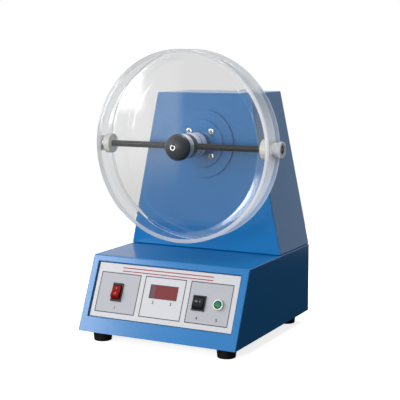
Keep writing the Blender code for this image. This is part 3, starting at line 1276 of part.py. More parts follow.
# Drum, hub and crossbar
drum_shell(clear_acrylic)
drum_cover(clear_acrylic)
hub_sleeve(steel)
hub_block(black_plastic)
hub_ring(chrome)
cover_knob(black_plastic)
knob_insert(steel)
crossbar(black_plastic)
collar("collar_left", -1, nylon)
collar("collar_right", 1, nylon)
collar_nut("collar_nut_left", -1, LEFT_NUT_LENGTH, nylon)
collar_nut("collar_nut_right", 1, RIGHT_NUT_LENGTH, nylon)

# Bearings and drive
bearing_flange(blue_paint)
for number, place in enumerate(screw_places(), start=1):
    flange_screw(number, place, zinc)
bearing("front_bearing", FRONT_BEARING, steel, brass)
bearing("rear_bearing", REAR_BEARING, steel, brass)
drive_shaft(steel)
count_disc(black_plastic)
count_sensor(black_plastic)
coupling_hub("coupling_front_hub", COUPLING_FRONT, JAW_START, JAW_START - EDGE, JAW_END, 0, zinc)
coupling_spider(red_plastic)
coupling_hub("coupling_rear_hub", REAR_HUB_FRONT, COUPLING_BACK, JAW_START + GAP, REAR_HUB_FRONT + EDGE,
             180 / COUPLING_JAW_COUNT, zinc)
gearbox_shaft(steel)
motor_bracket(zinc)
gearbox(zinc)
drive_motor(iron)

# Inside and behind the base
control_board(circuit_green)
transformer_core(iron)
transformer_winding(copper)
mains_inlet(black_plastic)
inlet_pin("inlet_pin_live", -PIN_SPREAD, -PIN_OFFSET, brass)
inlet_pin("inlet_pin_earth", 0.0, PIN_OFFSET, brass)
inlet_pin("inlet_pin_neutral", PIN_SPREAD, -PIN_OFFSET, brass)
fuse_holder(black_plastic)
fuse_cap(black_plastic)

bpy.context.view_layer.update()
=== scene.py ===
"""The finished look of the tablet friability tester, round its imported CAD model. Metres, +Z up."""
import math
from functools import partial

import bmesh
import bpy
from mathutils import Matrix, Vector


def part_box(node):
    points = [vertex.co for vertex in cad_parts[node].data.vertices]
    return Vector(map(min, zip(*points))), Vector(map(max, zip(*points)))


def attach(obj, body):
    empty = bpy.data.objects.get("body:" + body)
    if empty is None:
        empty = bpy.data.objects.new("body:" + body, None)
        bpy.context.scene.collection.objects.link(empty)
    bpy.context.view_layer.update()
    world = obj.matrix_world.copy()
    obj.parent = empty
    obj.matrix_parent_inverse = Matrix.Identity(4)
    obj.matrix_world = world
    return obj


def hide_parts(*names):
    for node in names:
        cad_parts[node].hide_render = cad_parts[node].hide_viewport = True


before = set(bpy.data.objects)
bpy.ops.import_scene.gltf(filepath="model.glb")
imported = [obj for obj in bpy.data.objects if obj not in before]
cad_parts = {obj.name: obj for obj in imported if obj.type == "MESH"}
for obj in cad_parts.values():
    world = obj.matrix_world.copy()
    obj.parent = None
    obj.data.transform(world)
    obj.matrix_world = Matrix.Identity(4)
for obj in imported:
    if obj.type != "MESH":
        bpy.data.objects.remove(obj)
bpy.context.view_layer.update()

# Camera, fitted to the photograph's drum circles and casing corners
CAMERA_AZIMUTH = math.radians(27.468)
CAMERA_ELEVATION = math.radians(7.89)
CAMERA_ROLL = math.radians(-0.162)
CAMERA_DISTANCE = 1.650185
CAMERA_LENS = 93.32
SENSOR_WIDTH = 36.0
AIM_PAST_AXIS = 0.005214
AIM_HEIGHT = 0.213728

# Bodies, directions, and steps round a full turn
BODY = "base_and_tower"
ALONG_DRUM = (0.0, 1.0, 0.0)
AWAY_FROM_DRUM = (0.0, -1.0, 0.0)
ALONG_BAR = (1.0, 0.0, 0.0)
UPRIGHT = (0.0, 0.0, 1.0)
SIDES = ((-1, "left"), (1, "right"))
LARGE_TURN = 192
MEDIUM_TURN = 96
SMALL_TURN = 64
TINY_TURN = 32
SMOOTH_ANGLE = math.radians(38.0)
GAP = 0.0003

# Places read from the CAD model
base_low, base_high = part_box("base_housing")
drum_low, drum_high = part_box("drum_shell")
cover_low, cover_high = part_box("drum_cover")
AXIS_X = (drum_low.x + drum_high.x) / 2
AXIS_Z = (drum_low.z + drum_high.z) / 2
AXIS = Vector((AXIS_X, 0.0, AXIS_Z))
BASE_X = (base_low.x + base_high.x) / 2
PANEL_LEAN = 0.05
PANEL_TILT = math.atan2(PANEL_LEAN, base_high.z - base_low.z)
OVER_PANEL = (math.pi / 2 - PANEL_TILT, 0.0, 0.0)
PANEL_ORIGIN = Vector((BASE_X, base_low.y, base_low.z))
PANEL = Matrix.Translation(PANEL_ORIGIN) @ Matrix.Rotation(OVER_PANEL[0], 4, "X")
BAR_MIDDLE = AXIS + Vector((0.0, (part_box("crossbar")[0].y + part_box("crossbar")[1].y) / 2, 0.0))

# Drum and cover
INNER_RADIUS = 0.1435
OUTER_RADIUS = (drum_high.x - drum_low.x) / 2
BACK_WALL = 0.0033
OUTER_FILLET = 0.001
INNER_FILLET = 0.0015
ACRYLIC_HAZE = 0.004
WALL_PAINTED_SHEEN = 0.42
WALL_GLOSS = 0.05
GROOVE_SLANT = 1.2
COVER_SPIGOT = 0.0008
COVER_EDGE = 0.0006
COVER_DISH_RADIUS = 0.131
COVER_DISH_SLOPE = 0.1
COVER_DISH_START = 0.2
STUD_RADIUS = 0.004
COLLAR_NECK = 0.008

# A pan-head screw's head with its hexagon socket, by shares of its radius and of its height from the top
PAN_HEAD = ((1.0, 0.45), (0.93, 0.2), (0.78, 0.04), (0.6, 0.0), (0.52, 0.0), (0.52, 0.6), (0.0, 0.7))
FLANGE_SCREW_HEAD = 0.005

# Rear cover's screws
REAR_SHEET = 0.0015
REAR_SCREW_INSET = 0.0065
REAR_SCREW_RISE = 0.0022
REAR_SCREW_HEAD = 0.0036
REAR_SCREW_SHANK = 0.0015
REAR_SCREW_LENGTH = 0.008
REAR_SCREW_ROWS = (0.035, 0.5, 0.965)
REAR_TOP_HALF = 0.0793

# Switches and button, measured over the sloping face: across and up the slope
POWER_SWITCH = (-0.0806, 0.0666)
POWER_SIZE = (0.0186, 0.029)
POWER_END_RADIUS = 0.0112
POWER_RIDGE = math.radians(50.0)
TIMER_SWITCH = (0.0625, 0.0646)
TIMER_SIZE = (0.0214, 0.0235)
TIMER_END_RADIUS = 0.0092
TIMER_RIDGE = math.radians(48.0)
BEZEL_FRONT = 0.0006
ROCKER_REST = math.radians(12.0)
ROCKER_PIVOT = -0.0025
BUTTON_PLACE = (0.0955, 0.0651)
BUTTON_FRONT = 0.0029
BUTTON_BACK = -0.022
BUTTON_RADIUS = 0.0081
LENS_RADIUS = 0.006

# Panel, measured over the sloping face: across, up the slope, out of it
PLATE_FRONT = -0.002
INK = 0.00006
FIELD_PITCH = 0.0793
FIELD_WIDTH = 0.0715
FIELD_LENGTH = 0.064
FIELD_PLACE = 0.0655
FIELD_LINE = 0.0014
HEADER_PLACE = 0.1035
HEADER_LENGTH = 0.158
HEADER_RULE = 0.0016
HEADER_HEIGHT = 0.0052
RECESS = (0.2485, 0.0246, 0.1129)
RECESS_EDGE = 0.0009
# Dark strip of painted shade round the plate: its width at the left, and at the other sides
SHADE_STRIP_LEFT = 0.0024
SHADE_STRIP_LINE = 0.0009
NUMERAL_HEIGHT = 0.0066
NUMERAL_BOLD = 0.00022
CONTROL_LABEL_PLACE = 0.042
COUNT_LABEL_X = 0.0155
COUNT_LABEL_PLACE = 0.0575
WINDOW_PLACE = 0.0744
WINDOW_SIZE = (0.046, 0.0195)
WINDOW_EDGE_REACH = 0.0024
WINDOW_EDGE_LINE = 0.0014
WINDOW_BAND = 0.0075

# Room, as plain levels
WINDOW_WAY = (-0.55, -0.6, 0.55)
WINDOW_LEVEL = 0.6
AMBIENT_LOW = 0.12
AMBIENT_HIGH = 0.3
WALL_LEVEL = 0.8
WALL_LEVEL_LEFT = 0.74
WALL_LEVEL_RIGHT = 0.65
WALL_PALER_LEVEL = 0.05
WALL_STEPS = ((-0.3, 0.3, WALL_LEVEL, WALL_LEVEL_RIGHT), (-0.482, -0.472, WALL_LEVEL_LEFT, WALL_LEVEL))
LEFT_LEVEL = 0.6
STRIP_LEVEL = 4.0
PANE_LEVEL = 11.0
LOW_PANE_LEVEL = 0.7
ROOM_LEVEL = 0.3

# Bright patches of the room, by their soft edges: a slant of the ray, its value outside and its value inside
WINDOW_EDGES = (("window", 0.3, 0.95),)
HIGH_EDGES = (("Z", 0.1, 0.5),)
PALER_EDGES = (("X", -0.492, -0.512), ("Z", -0.13, -0.08))
LEFT_EDGES = (("X", -0.472, -0.482), ("Z", -0.135, -0.085))
STRIP_EDGES = (("X", -0.535, -0.522), ("X", -0.5045, -0.514), ("Z", -0.058, -0.04), ("Z", -0.012, -0.022))
PANE_EDGES = (("X", -0.61, -0.58), ("X", -0.53, -0.537), ("Z", -0.068, -0.056), ("Z", 0.0, -0.012))
LOW_PANE_EDGES = (("X", -0.41, -0.395), ("X", -0.34, -0.36), ("Z", -0.2, -0.15), ("Z", 0.03, 0.0))

# Floor: its half width, its dark level in front, the glow that the camera sees, and its light far behind
FLOOR_REACH = 1.05
FLOOR_DARK = 0.03
FLOOR_GLOW = 0.8
FLOOR_FAR_LEVEL = 0.7
FLOOR_FAR_EDGES = (("Y", 0.3, 0.95),)

# Lamps: name, place, height aimed at, width, power
SOFTBOXES = (("front_softbox", (-0.1, -2.25, 0.65), 0.25, 0.7, 31.0),
             ("left_softbox", (-1.08, -1.01, 0.66), 0.2, 0.6, 8.2),
             ("back_softbox", (0.2, 1.1, 1.8), 0.2, 1.2, 24.0))

# Settings of a Map Range node with soft ends, and of a Mapping node that measures from a place
SOFT = {"interpolation_type": "SMOOTHSTEP"}
FROM_PLACE = {"vector_type": "TEXTURE"}


def linear(colour):
    """A hex colour as linear RGBA."""
    channels = [int(colour[place:place + 2], 16) / 255 for place in (1, 3, 5)]
    return (*(c / 12.92 if c <= 0.04045 else ((c + 0.055) / 1.055) ** 2.4 for c in channels), 1.0)


def add_node(tree, kind, values=None, feeds=None, **settings):
    """Adds a node with its links. The settings are its properties. The values are its inputs: each is a
    number, a hex colour, an output, or a node, whose first output in use is taken. Its own first output
    goes to the socket that it feeds."""
    item = tree.nodes.new("ShaderNode" + kind)
    for name, setting in settings.items():
        setattr(item, name, setting)
    for socket, value in (values or {}).items():
        if isinstance(value, str):
            value = linear(value)
        if isinstance(value, bpy.types.Node):
            value = first_output(value)
        if isinstance(value, bpy.types.NodeSocket):
            tree.links.new(value, item.inputs[socket])
        else:
            item.inputs[socket].default_value = value
    if feeds is not None:
        tree.links.new(first_output(item), feeds)
    return item


def first_output(item):
    """The first output that a node's settings leave in use."""
    return next(output for output in item.outputs if output.enabled)


def new_finish(name, colour, roughness, metallic=0.0, **sockets):
    """A material with its Principled shader's own sockets set, and what its pattern needs: the function that
    adds a node to it, the shader and the place on the object."""
    material = bpy.data.materials.new(name)
    material.use_nodes = True
    shader = material.node_tree.nodes["Principled BSDF"]
    shader.inputs["Base Color"].default_value = linear(colour)
    shader.inputs["Roughness"].default_value = roughness
    shader.inputs["Metallic"].default_value = metallic
    for socket, value in sockets.items():
        shader.inputs[socket.replace("_", " ")].default_value = value
    add = partial(add_node, material.node_tree)
    return material, add, shader, add("TexCoord").outputs["Object"]


def grained(name, colour, roughness, size, detail=2.0, metallic=0.0, stretch=None, distortion=0.0,
            polish=None, relief=None, tints=None, **sockets):
    """A material with one fine grain of a real size. It may vary the roughness (least, most), raise the
    surface (strength, depth) and change the colour between two tints. A stretch makes it lines or rings."""
    material, add, shader, place = new_finish(name, colour, roughness, metallic, **sockets)
    if stretch:
        place = add("Mapping", {"Vector": place, "Scale": stretch})
    grain = add("TexNoise", {"Vector": place, "Scale": 1 / size, "Detail": detail,
                             "Distortion": distortion})
    if polish:
        add("MapRange", {0: grain, 3: polish[0], 4: polish[1]}, shader.inputs["Roughness"])
    if relief:
        add("Bump", {"Height": grain, "Strength": relief[0], "Distance": relief[1]},
            shader.inputs["Normal"])
    if tints:
        add("Mix", {0: grain, 6: tints[0], 7: tints[1]}, shader.inputs["Base Color"], data_type="RGBA")
    return material


def powder_coat():
    """Powder-coated steel: a baked, half-gloss skin with an orange peel 1.5 mm across."""
    material, add, shader, place = new_finish("powder_coated_steel", "#126caa", 0.18,
                                              Specular_IOR_Level=0.5)
    peel = add("TexNoise", {"Vector": place, "Scale": 1 / 0.0015, "Detail": 3.0, "Roughness": 0.55})
    cloud = add("TexNoise", {"Vector": place, "Scale": 1 / 0.05, "Detail": 2.0})
    add("Mix", {0: cloud, 6: "#1069a6", 7: "#146fae"}, shader.inputs["Base Color"], data_type="RGBA")
    add("Bump", {"Height": peel, "Strength": 0.06, "Distance": 0.0001}, shader.inputs["Normal"])
    return material


def zinc_plate():
    """Zinc-plated sheet: a dull silver skin with a spangle 12 mm across."""
    material, add, shader, place = new_finish("zinc_plated_sheet", "#b4b6b9", 0.42, 1.0)
    spangle = add("TexVoronoi", {"Vector": place, "Scale": 1 / 0.012})
    add("MapRange", {0: spangle, 3: 0.34, 4: 0.52}, shader.inputs["Roughness"])
    return material


def moulded_plastic(name, colour, roughness, shine=0.5):
    """Moulded plastic: even colour, with the fine grain of a spark-eroded mould, drawn 0.6 mm across."""
    return grained(name, colour, roughness, 0.0006, relief=(0.2, 0.00004), Specular_IOR_Level=shine)


def clear_green():
    """Polycarbonate lens tinted green: half gloss, paler in its middle, with a painted shade that darkens it
    where it meets its bezel.
    """
    material, add, shader, place = new_finish("green_polycarbonate", "#178a4e", 0.35,
                                              Specular_IOR_Level=0.2)
    middle = PANEL @ Vector((*BUTTON_PLACE, 0.0))
    over = add("Mapping", {"Vector": place, "Location": middle, "Rotation": OVER_PANEL}, **FROM_PLACE)
    flat = add("VectorMath", {0: over, 1: (1.0, 1.0, 0.0)}, operation="MULTIPLY")
    out = add("VectorMath", {0: flat}, operation="LENGTH")
    # Painted shade: the colour darkens towards the lens's edge, where it meets the bezel
    rim = add("MapRange", {0: out, 1: LENS_RADIUS * 0.6, 2: LENS_RADIUS * 0.95}, **SOFT)
    swirl = add("TexNoise", {"Vector": place, "Scale": 1 / 0.004, "Detail": 1.0})
    tint = add("Mix", {0: swirl, 6: "#0d6e3a", 7: "#17804a"}, data_type="RGBA")
    add("Mix", {0: rim, 6: tint, 7: "#0c3d24"}, shader.inputs["Base Color"], data_type="RGBA")
    return material


def turned_nylon(name, colour, clearness):
    """Turned nylon: milky, lets light through, with fine tool rings 0.7 mm apart."""
    return grained(name, colour, 0.5, 0.0007, stretch=(1.0, 0.02, 0.02), relief=(0.3, 0.00008),
                   Transmission_Weight=clearness, Subsurface_Weight=0.3, Subsurface_Scale=0.006,
                   Subsurface_Radius=(1.0, 0.95, 0.85))


def let_light_through(material, shader, share, colour):
    """Mixes in a share of plain see-through, which is all that shadow rays meet."""
    add = partial(add_node, material.node_tree)
    path = add("LightPath").outputs
    plain = add("Math", {0: path["Is Shadow Ray"], 1: path["Is Diffuse Ray"]}, operation="MAXIMUM")
    through = add("Math", {0: plain, 1: share}, operation="MAXIMUM")
    clear = add("BsdfTransparent", {"Color": colour})
    add("MixShader", {0: through, 1: shader, 2: clear},
        material.node_tree.nodes["Material Output"].inputs["Surface"])


def cast_acrylic():
    """Cast acrylic sheet: clear with a light grey cast, with fine wipe marks in its gloss and a thin dust."""
    material, add, shader, place = new_finish("cast_acrylic", "#fdfdfd", 0.0, IOR=1.49,
                                              Transmission_Weight=1.0)
    wipes = add("TexNoise", {"Vector": place, "Scale": 1 / 0.03, "Detail": 4.0, "Distortion": 1.0})
    add("MapRange", {0: wipes, 3: 0.0, 4: 0.03}, shader.inputs["Roughness"])
    dust = add("BsdfDiffuse", {"Color": "#e8eaee"})
    thin = add("MapRange", {0: wipes, 3: ACRYLIC_HAZE * 0.8, 4: ACRYLIC_HAZE * 1.2})
    dusty = add("MixShader", {0: thin, 1: shader, 2: dust})
    let_light_through(material, dusty, 0.0, "#fafafa")
    return material


def sawn_acrylic():
    """Sawn and sanded acrylic edge: satin white, with a painted highlight that makes its colour paler towards
    the lower right, where light comes out.
    """
    material, add, shader, place = new_finish("sanded_acrylic_edge", "#d8dade", 0.45, IOR=1.49)
    # Painted highlight: the colour runs from grey at the upper left to near white at the lower right
    from_centre = add("Mapping", {"Vector": place, "Location": AXIS}, **FROM_PLACE)
    painted_highlight_way = (0.8, 0.0, -0.6)
    glow = add("VectorMath", {0: from_centre, 1: painted_highlight_way}, operation="DOT_PRODUCT")
    lit = add("MapRange", {0: glow, 1: -OUTER_RADIUS, 2: OUTER_RADIUS * 0.8})
    tint = add("Mix", {0: lit, 6: "#b9baba", 7: "#fdfdfe"}, shader.inputs["Base Color"], data_type="RGBA")
    grain = add("TexNoise", {"Vector": place, "Scale": 1 / 0.001, "Detail": 2.0})
    add("Bump", {"Height": grain, "Strength": 0.2, "Distance": 0.0001}, shader.inputs["Normal"])
    inside = add("BsdfTranslucent", {"Color": tint})
    satin = add("MixShader", {0: 0.45, 1: shader, 2: inside})
    let_light_through(material, satin, 0.25, "#f2f4f6")
    return material


def turned_acrylic():
    """Turned acrylic wall: clear at the left, and made milkier towards the right as a painted sheen of light
    on its tool lines, drawn 0.7 mm apart. Their flanks lean forwards to the light, and backwards where it
    leaves."""
    material, add, shader, place = new_finish("turned_acrylic_wall", "#f0f2f5", 0.4)
    clear = add("BsdfTransparent", {"Color": "#fbfcfc"})
    gloss = add("BsdfGlossy", {"Color": "#ffffff", "Roughness": 0.2})
    slant = add("Fresnel", {"IOR": 1.49})
    shine = add("Math", {0: slant, 1: WALL_GLOSS}, operation="MULTIPLY")
    polished = add("MixShader", {0: shine, 1: clear, 2: gloss})
    # Painted sheen: the milky share grows from the left of the drum to its right; the tool lines' grain
    # varies it
    across = add("SeparateXYZ", {0: place}).outputs["X"]
    painted_sheen_share = add("MapRange", {0: across, 1: AXIS_X - 0.3 * OUTER_RADIUS, 2: AXIS_X + OUTER_RADIUS,
                             4: WALL_PAINTED_SHEEN}, **SOFT)
    along = add("Mapping", {"Vector": place, "Scale": (0.02, 1.0, 0.02)})
    lines = add("TexNoise", {"Vector": along, "Scale": 1 / 0.0007, "Detail": 2.0})
    grain = add("MapRange", {0: lines, 3: 0.8, 4: 1.2})
    milk_and_painted_sheen = add("Math", {0: painted_sheen_share, 1: grain}, operation="MULTIPLY")
    outwards = add("NewGeometry").outputs["Normal"]
    inside = add("BsdfTranslucent", {"Color": "#f0f2f5"})
    for lean, socket in ((-GROOVE_SLANT, shader.inputs["Normal"]), (GROOVE_SLANT, inside.inputs["Normal"])):
        flank = add("VectorMath", {0: outwards, 1: (0.0, lean, 0.0)}, operation="ADD")
        add("VectorMath", {0: flank}, socket, operation="NORMALIZE")
    glow = add("MixShader", {0: 0.95, 1: shader, 2: inside})
    wall_with_painted_sheen = add("MixShader", {0: milk_and_painted_sheen, 1: polished, 2: glow})
    let_light_through(material, wall_with_painted_sheen, 0.0, "#e7e8ea")
    return material


def printed_plate():
    """Screen-printed plate: an off-white ground with two grey fields, and a fine ink tooth 1.2 mm across."""
    material, add, shader, place = new_finish("printed_plate", "#bfc0c6", 0.5)
    over = add("Mapping", {"Vector": place, "Location": PANEL_ORIGIN, "Rotation": OVER_PANEL}, **FROM_PLACE)
    split = add("SeparateXYZ", {0: over}).outputs
    side = add("Math", {0: split["X"]}, operation="ABSOLUTE")
    across = add("Math", {0: side, 1: FIELD_PITCH, 2: FIELD_WIDTH / 2}, operation="COMPARE")
    up = add("Math", {0: split["Y"], 1: FIELD_PLACE, 2: FIELD_LENGTH / 2}, operation="COMPARE")
    field = add("Math", {0: across, 1: up}, operation="MULTIPLY")
    tooth = add("TexNoise", {"Vector": place, "Scale": 1 / 0.0012, "Detail": 2.0})
    ground = add("Mix", {0: tooth, 6: "#b7b8be", 7: "#bdbec3"}, data_type="RGBA")
    grey = add("Mix", {0: tooth, 6: "#9b9da4", 7: "#a2a4ab"}, data_type="RGBA")
    add("Mix", {0: field, 6: ground, 7: grey}, shader.inputs["Base Color"], data_type="RGBA")
    return material


def screen_ink(name, colour):
    """Screen ink: flat and matte, thin at its grain."""
    return grained(name, colour, 0.55, 0.0006, detail=1.0, polish=(0.5, 0.65))


def circuit_board():
    """Glass-epoxy board under green mask, with its weave drawn 1.2 mm apart."""
    material, add, shader, place = new_finish("masked_circuit_board", "#1c5a35", 0.35)
    add("TexChecker", {"Vector": place, "Scale": 1 / 0.0012, "Color1": "#1a5432", "Color2": "#22663d"},
        shader.inputs["Base Color"])
    return material


def layered(name, colour, roughness, metallic, size, way, relief):
    """A material of even layers or turns, which repeat at a real size along one way."""
    material, add, shader, place = new_finish(name, colour, roughness, metallic)
    layers = add("TexWave", {"Vector": place, "Scale": 1 / size}, bands_direction=way)
    add("Bump", {"Height": layers.outputs["Fac"], "Strength": relief[0], "Distance": relief[1]},
        shader.inputs["Normal"])
    return material


blue = powder_coat()
zinc = zinc_plate()
# Die-cast zinc: grey, with a sandy skin 0.8 mm across from the mould
cast = grained("die_cast_zinc", "#9a9b9e", 0.5, 0.0008, detail=3.0, metallic=1.0, relief=(0.4, 0.0001))
# Turned steel: fine rings round the drum's axis, 0.6 mm apart so that they show
steel = grained("turned_steel", "#c6c7c9", 0.28, 0.0006, metallic=1.0, stretch=(0.02, 1.0, 0.02),
                polish=(0.18, 0.4), relief=(0.25, 0.00005))
# Zinc-plated screw steel: bright, with a light tumbled grain 0.5 mm across
screw_steel = grained("plated_screw_steel", "#d8d8d6", 0.25, 0.0005, metallic=1.0, polish=(0.18, 0.34))
# Satin nickel plate: pale, with a brushed grain round the drum's axis, 0.5 mm apart
nickel = grained("satin_nickel_plate", "#e6e7ea", 0.38, 0.0005, metallic=0.35, stretch=(0.02, 1.0, 0.02),
                 polish=(0.3, 0.46))
# Drawn brass: warm metal with a slight stain 3 mm across
brass = grained("drawn_brass", "#c9a45c", 0.3, 0.003, detail=3.0, metallic=1.0, polish=(0.2, 0.42))
# Moulded phenolic: hard and black, polished, with a faint flow mark 6 mm across
knob_black = grained("moulded_phenolic", "#404347", 0.42, 0.006, detail=3.0, distortion=0.6,
                     polish=(0.36, 0.48), Specular_IOR_Level=0.22)
black = moulded_plastic("moulded_abs", "#1d1f22", 0.3)
rocker_black = moulded_plastic("moulded_rocker_abs", "#1c1f23", 0.55, 0.12)
bezel_black = moulded_plastic("moulded_bezel_abs", "#1e2024", 0.45, 0.25)
hub_black = moulded_plastic("moulded_acetal", "#2c2e32", 0.4)
# Steel under black oxide: dark and oily, with a slight unevenness 2 mm across
bar_black = grained("black_oxide_steel", "#131316", 0.3, 0.002, relief=(0.2, 0.00004), Specular_IOR_Level=0.2)
# Polycarbonate tinted red: half gloss, with a slight swirl 8 mm across
red = grained("red_polycarbonate", "#7e0a08", 0.5, 0.008, detail=1.0, tints=("#760907", "#860c09"),
              Specular_IOR_Level=0.1)
green = clear_green()
nylon = turned_nylon("natural_nylon", "#e6e4dc", 0.45)
# A clearer, cooler copy of the collars' nylon for the nuts, darker to stand partly for painted shade
nut_nylon_and_shade = turned_nylon("clear_nylon_and_painted_shade", "#dfe3e6", 0.55)
acrylic = cast_acrylic()
acrylic_edge = sawn_acrylic()
acrylic_wall = turned_acrylic()
# Moulded rubber: matte black with a dusty bloom 4 mm across
rubber = grained("moulded_rubber", "#0c0c0f", 0.6, 0.004, detail=4.0, relief=(0.2, 0.0002),
                 tints=("#09090b", "#111114"), Specular_IOR_Level=0.25)
# Dark strip of painted shade round the panel plate, standing for its recess's shaded walls: dull blue-black,
# with a fine skin 0.8 mm across
shade_strip_dark = grained("painted_shade_strip", "#1d2f42", 0.6, 0.0008, relief=(0.2, 0.00004),
                        Specular_IOR_Level=0.2)
plate_print = printed_plate()
# Tinted filter over unlit digits: dull red with a fine anti-glare tooth 0.9 mm across
filter_red = grained("display_filter", "#733637", 0.55, 0.0009, tints=("#6c3032", "#7c3c3d"),
                     Specular_IOR_Level=0.1)
line_ink = screen_ink("grey_screen_ink", "#303136")
mark_ink = screen_ink("dark_screen_ink", "#2e2e33")
header_ink = screen_ink("red_screen_ink", "#8e2c38")
pale_ink = screen_ink("pale_pad_ink", "#b0a58e")
edge_ink = screen_ink("window_edge_black", "#4e2a30")
band_ink = screen_ink("window_band_grey", "#4c343b")
board = circuit_board()
# Stacked iron sheets under varnish, drawn coarser than their 0.5 mm so that they show
iron = layered("varnished_laminations", "#46464a", 0.4, 0.6, 0.002, "Y", (0.4, 0.0002))
# Enamelled copper wire wound in layers, drawn coarser than it is so that its turns show
copper = layered("enamelled_copper", "#a4552c", 0.3, 0.8, 0.003, "Z", (0.6, 0.0004))


def as_mesh(name, bm):
    """A bmesh written to a mesh, and freed."""
    mesh = bpy.data.meshes.new(name)
    bm.to_mesh(mesh)
    bm.free()
    return mesh


def in_scene(name, data):
    """A new object in the scene."""
    item = bpy.data.objects.new(name, data)
    bpy.context.scene.collection.objects.link(item)
    return item


def make(name, bm, material, body, nodes=()):
    """Turns a bmesh into a piece that rides on a body and may stand for CAD nodes."""
    mesh = as_mesh(name, bm)
    mesh.shade_smooth()
    mesh.set_sharp_from_angle(angle=SMOOTH_ANGLE)
    mesh.materials.append(material)
    piece = in_scene(name, mesh)
    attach(piece, body)
    if nodes:
        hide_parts(*nodes)
    flat = piece.modifiers.new("flat_faces", "WEIGHTED_NORMAL")
    flat.keep_sharp = True
    return piece


def remade(node, ending, bm, material, body):
    """A piece that stands for one CAD node and is named after it."""
    return make(f"{node}_{ending}", bm, material, body, (node,))


def round_edges(bm, edges, width):
    """Rounds some edges of a shape."""
    bmesh.ops.bevel(bm, geom=edges, offset=width, segments=2, profile=0.5, affect="EDGES", material=-1,
                    clamp_overlap=True)


def break_edges(bm, width):
    """Rounds every edge that is sharper than 30 degrees."""
    least = math.radians(30.0)
    sharp = [edge for edge in bm.edges if len(edge.link_faces) == 2 and edge.calc_face_angle() > least]
    round_edges(bm, sharp, width)


def turned(outline, centre=AXIS, axis=ALONG_DRUM, steps=SMALL_TURN, edge=0.0):
    """A turned shape: (radius, place along the axis) points, spun about a line through the centre."""
    bm = bmesh.new()
    along = Vector(axis)
    out = Vector(UPRIGHT) if along.z == 0 else Vector(ALONG_BAR)
    verts = [bm.verts.new(centre + out * radius + along * place) for radius, place in outline]
    for first, second in zip(verts, verts[1:]):
        bm.edges.new((first, second))
    if outline[0][0] > 0 and outline[-1][0] > 0:
        bm.edges.new((verts[-1], verts[0]))
    bmesh.ops.spin(bm, geom=bm.verts[:] + bm.edges[:], cent=centre, axis=along, dvec=(0.0, 0.0, 0.0),
                   angle=math.tau, steps=steps, use_merge=True)
    bmesh.ops.remove_doubles(bm, verts=bm.verts, dist=0.000001)
    bmesh.ops.recalc_face_normals(bm, faces=bm.faces)
    if edge > 0:
        break_edges(bm, edge)
    return bm


def rod(radius, start, end, centre=AXIS, axis=ALONG_DRUM, steps=SMALL_TURN, edge=0.0):
    """A plain round rod from one place to another along an axis through the centre."""
    return turned([(0.0, start), (radius, start), (radius, end), (0.0, end)], centre, axis, steps, edge)


def arc(centre, radius, start, end, steps):
    """Points on an arc of an outline, from one angle to another in degrees."""
    points = []
    for step in range(steps + 1):
        angle = math.radians(start + (end - start) * step / steps)
        points.append((centre[0] + radius * math.cos(angle), centre[1] + radius * math.sin(angle)))
    return points


def plate(outline, low, high):
    """A flat outline filled and raised from one height to another."""
    bm = bmesh.new()
    verts = [bm.verts.new((x, y, low)) for x, y in outline]
    edges = [bm.edges.new(pair) for pair in zip(verts, verts[1:] + verts[:1])]
    filled = bmesh.ops.edgeloop_fill(bm, edges=edges)
    raised = bmesh.ops.extrude_face_region(bm, geom=filled["faces"])
    top = [item for item in raised["geom"] if isinstance(item, bmesh.types.BMVert)]
    bmesh.ops.translate(bm, vec=(0.0, 0.0, high - low), verts=top)
    bmesh.ops.recalc_face_normals(bm, faces=bm.faces)
    return bm


def bar(low, high):
    """A block between two corners."""
    bm = bmesh.new()
    bmesh.ops.create_cube(bm, size=1.0)
    bmesh.ops.scale(bm, vec=Vector(high) - Vector(low), verts=bm.verts)
    bmesh.ops.translate(bm, vec=(Vector(high) + Vector(low)) / 2, verts=bm.verts)
    return bm


def frame_bars(width, length, line, low, high):
    """Four bars that frame a rectangle, with their outer edges on it."""
    x = width / 2
    y = length / 2
    return [bar((-x, y - line, low), (x, y, high)), bar((-x, -y, low), (x, line - y, high)),
            bar((-x, line - y, low), (line - x, y - line, high)),
            bar((x - line, line - y, low), (x, y - line, high))]


def merged(shapes, matrix):
    """Several shapes as one bmesh, placed by a matrix."""
    bm = bmesh.new()
    for shape in shapes:
        mesh = as_mesh("merged_part", shape)
        bm.from_mesh(mesh)
        bpy.data.meshes.remove(mesh)
    return moved(bm, matrix)


def moved(bm, matrix):
    """The shape, placed by a matrix."""
    bmesh.ops.transform(bm, matrix=matrix, verts=bm.verts)
    return bm


def on_panel(across, up, out=0.0):
    """A place on the sloping panel."""
    return PANEL @ Matrix.Translation((across, up, out))


def evaluated_mesh(item):
    """An object's mesh with its modifiers applied, or a text's outline made a mesh."""
    view = bpy.context.evaluated_depsgraph_get()
    view.update()
    return bpy.data.meshes.new_from_object(item.evaluated_get(view))


def cut(piece, cutter_bm):
    """Cuts a shape out of a finished piece and keeps its mesh plain."""
    mesh = as_mesh("cutter", cutter_bm)
    cutter = in_scene("cutter", mesh)
    change = piece.modifiers.new("cut", "BOOLEAN")
    change.operation = "DIFFERENCE"
    change.solver = "EXACT"
    change.object = cutter
    result = evaluated_mesh(piece)
    piece.modifiers.remove(change)
    old = piece.data
    piece.data = result
    result.name = old.name
    bpy.data.meshes.remove(old)
    bpy.data.objects.remove(cutter)
    bpy.data.meshes.remove(mesh)
    piece.data.set_sharp_from_angle(angle=SMOOTH_ANGLE)


def face_finish(piece, material, test):
    """Gives the faces whose centre and normal pass a test another finish."""
    mesh = piece.data
    mesh.materials.append(material)
    index = len(mesh.materials) - 1
    for face in mesh.polygons:
        if test(face.center, face.normal):
            face.material_index = index


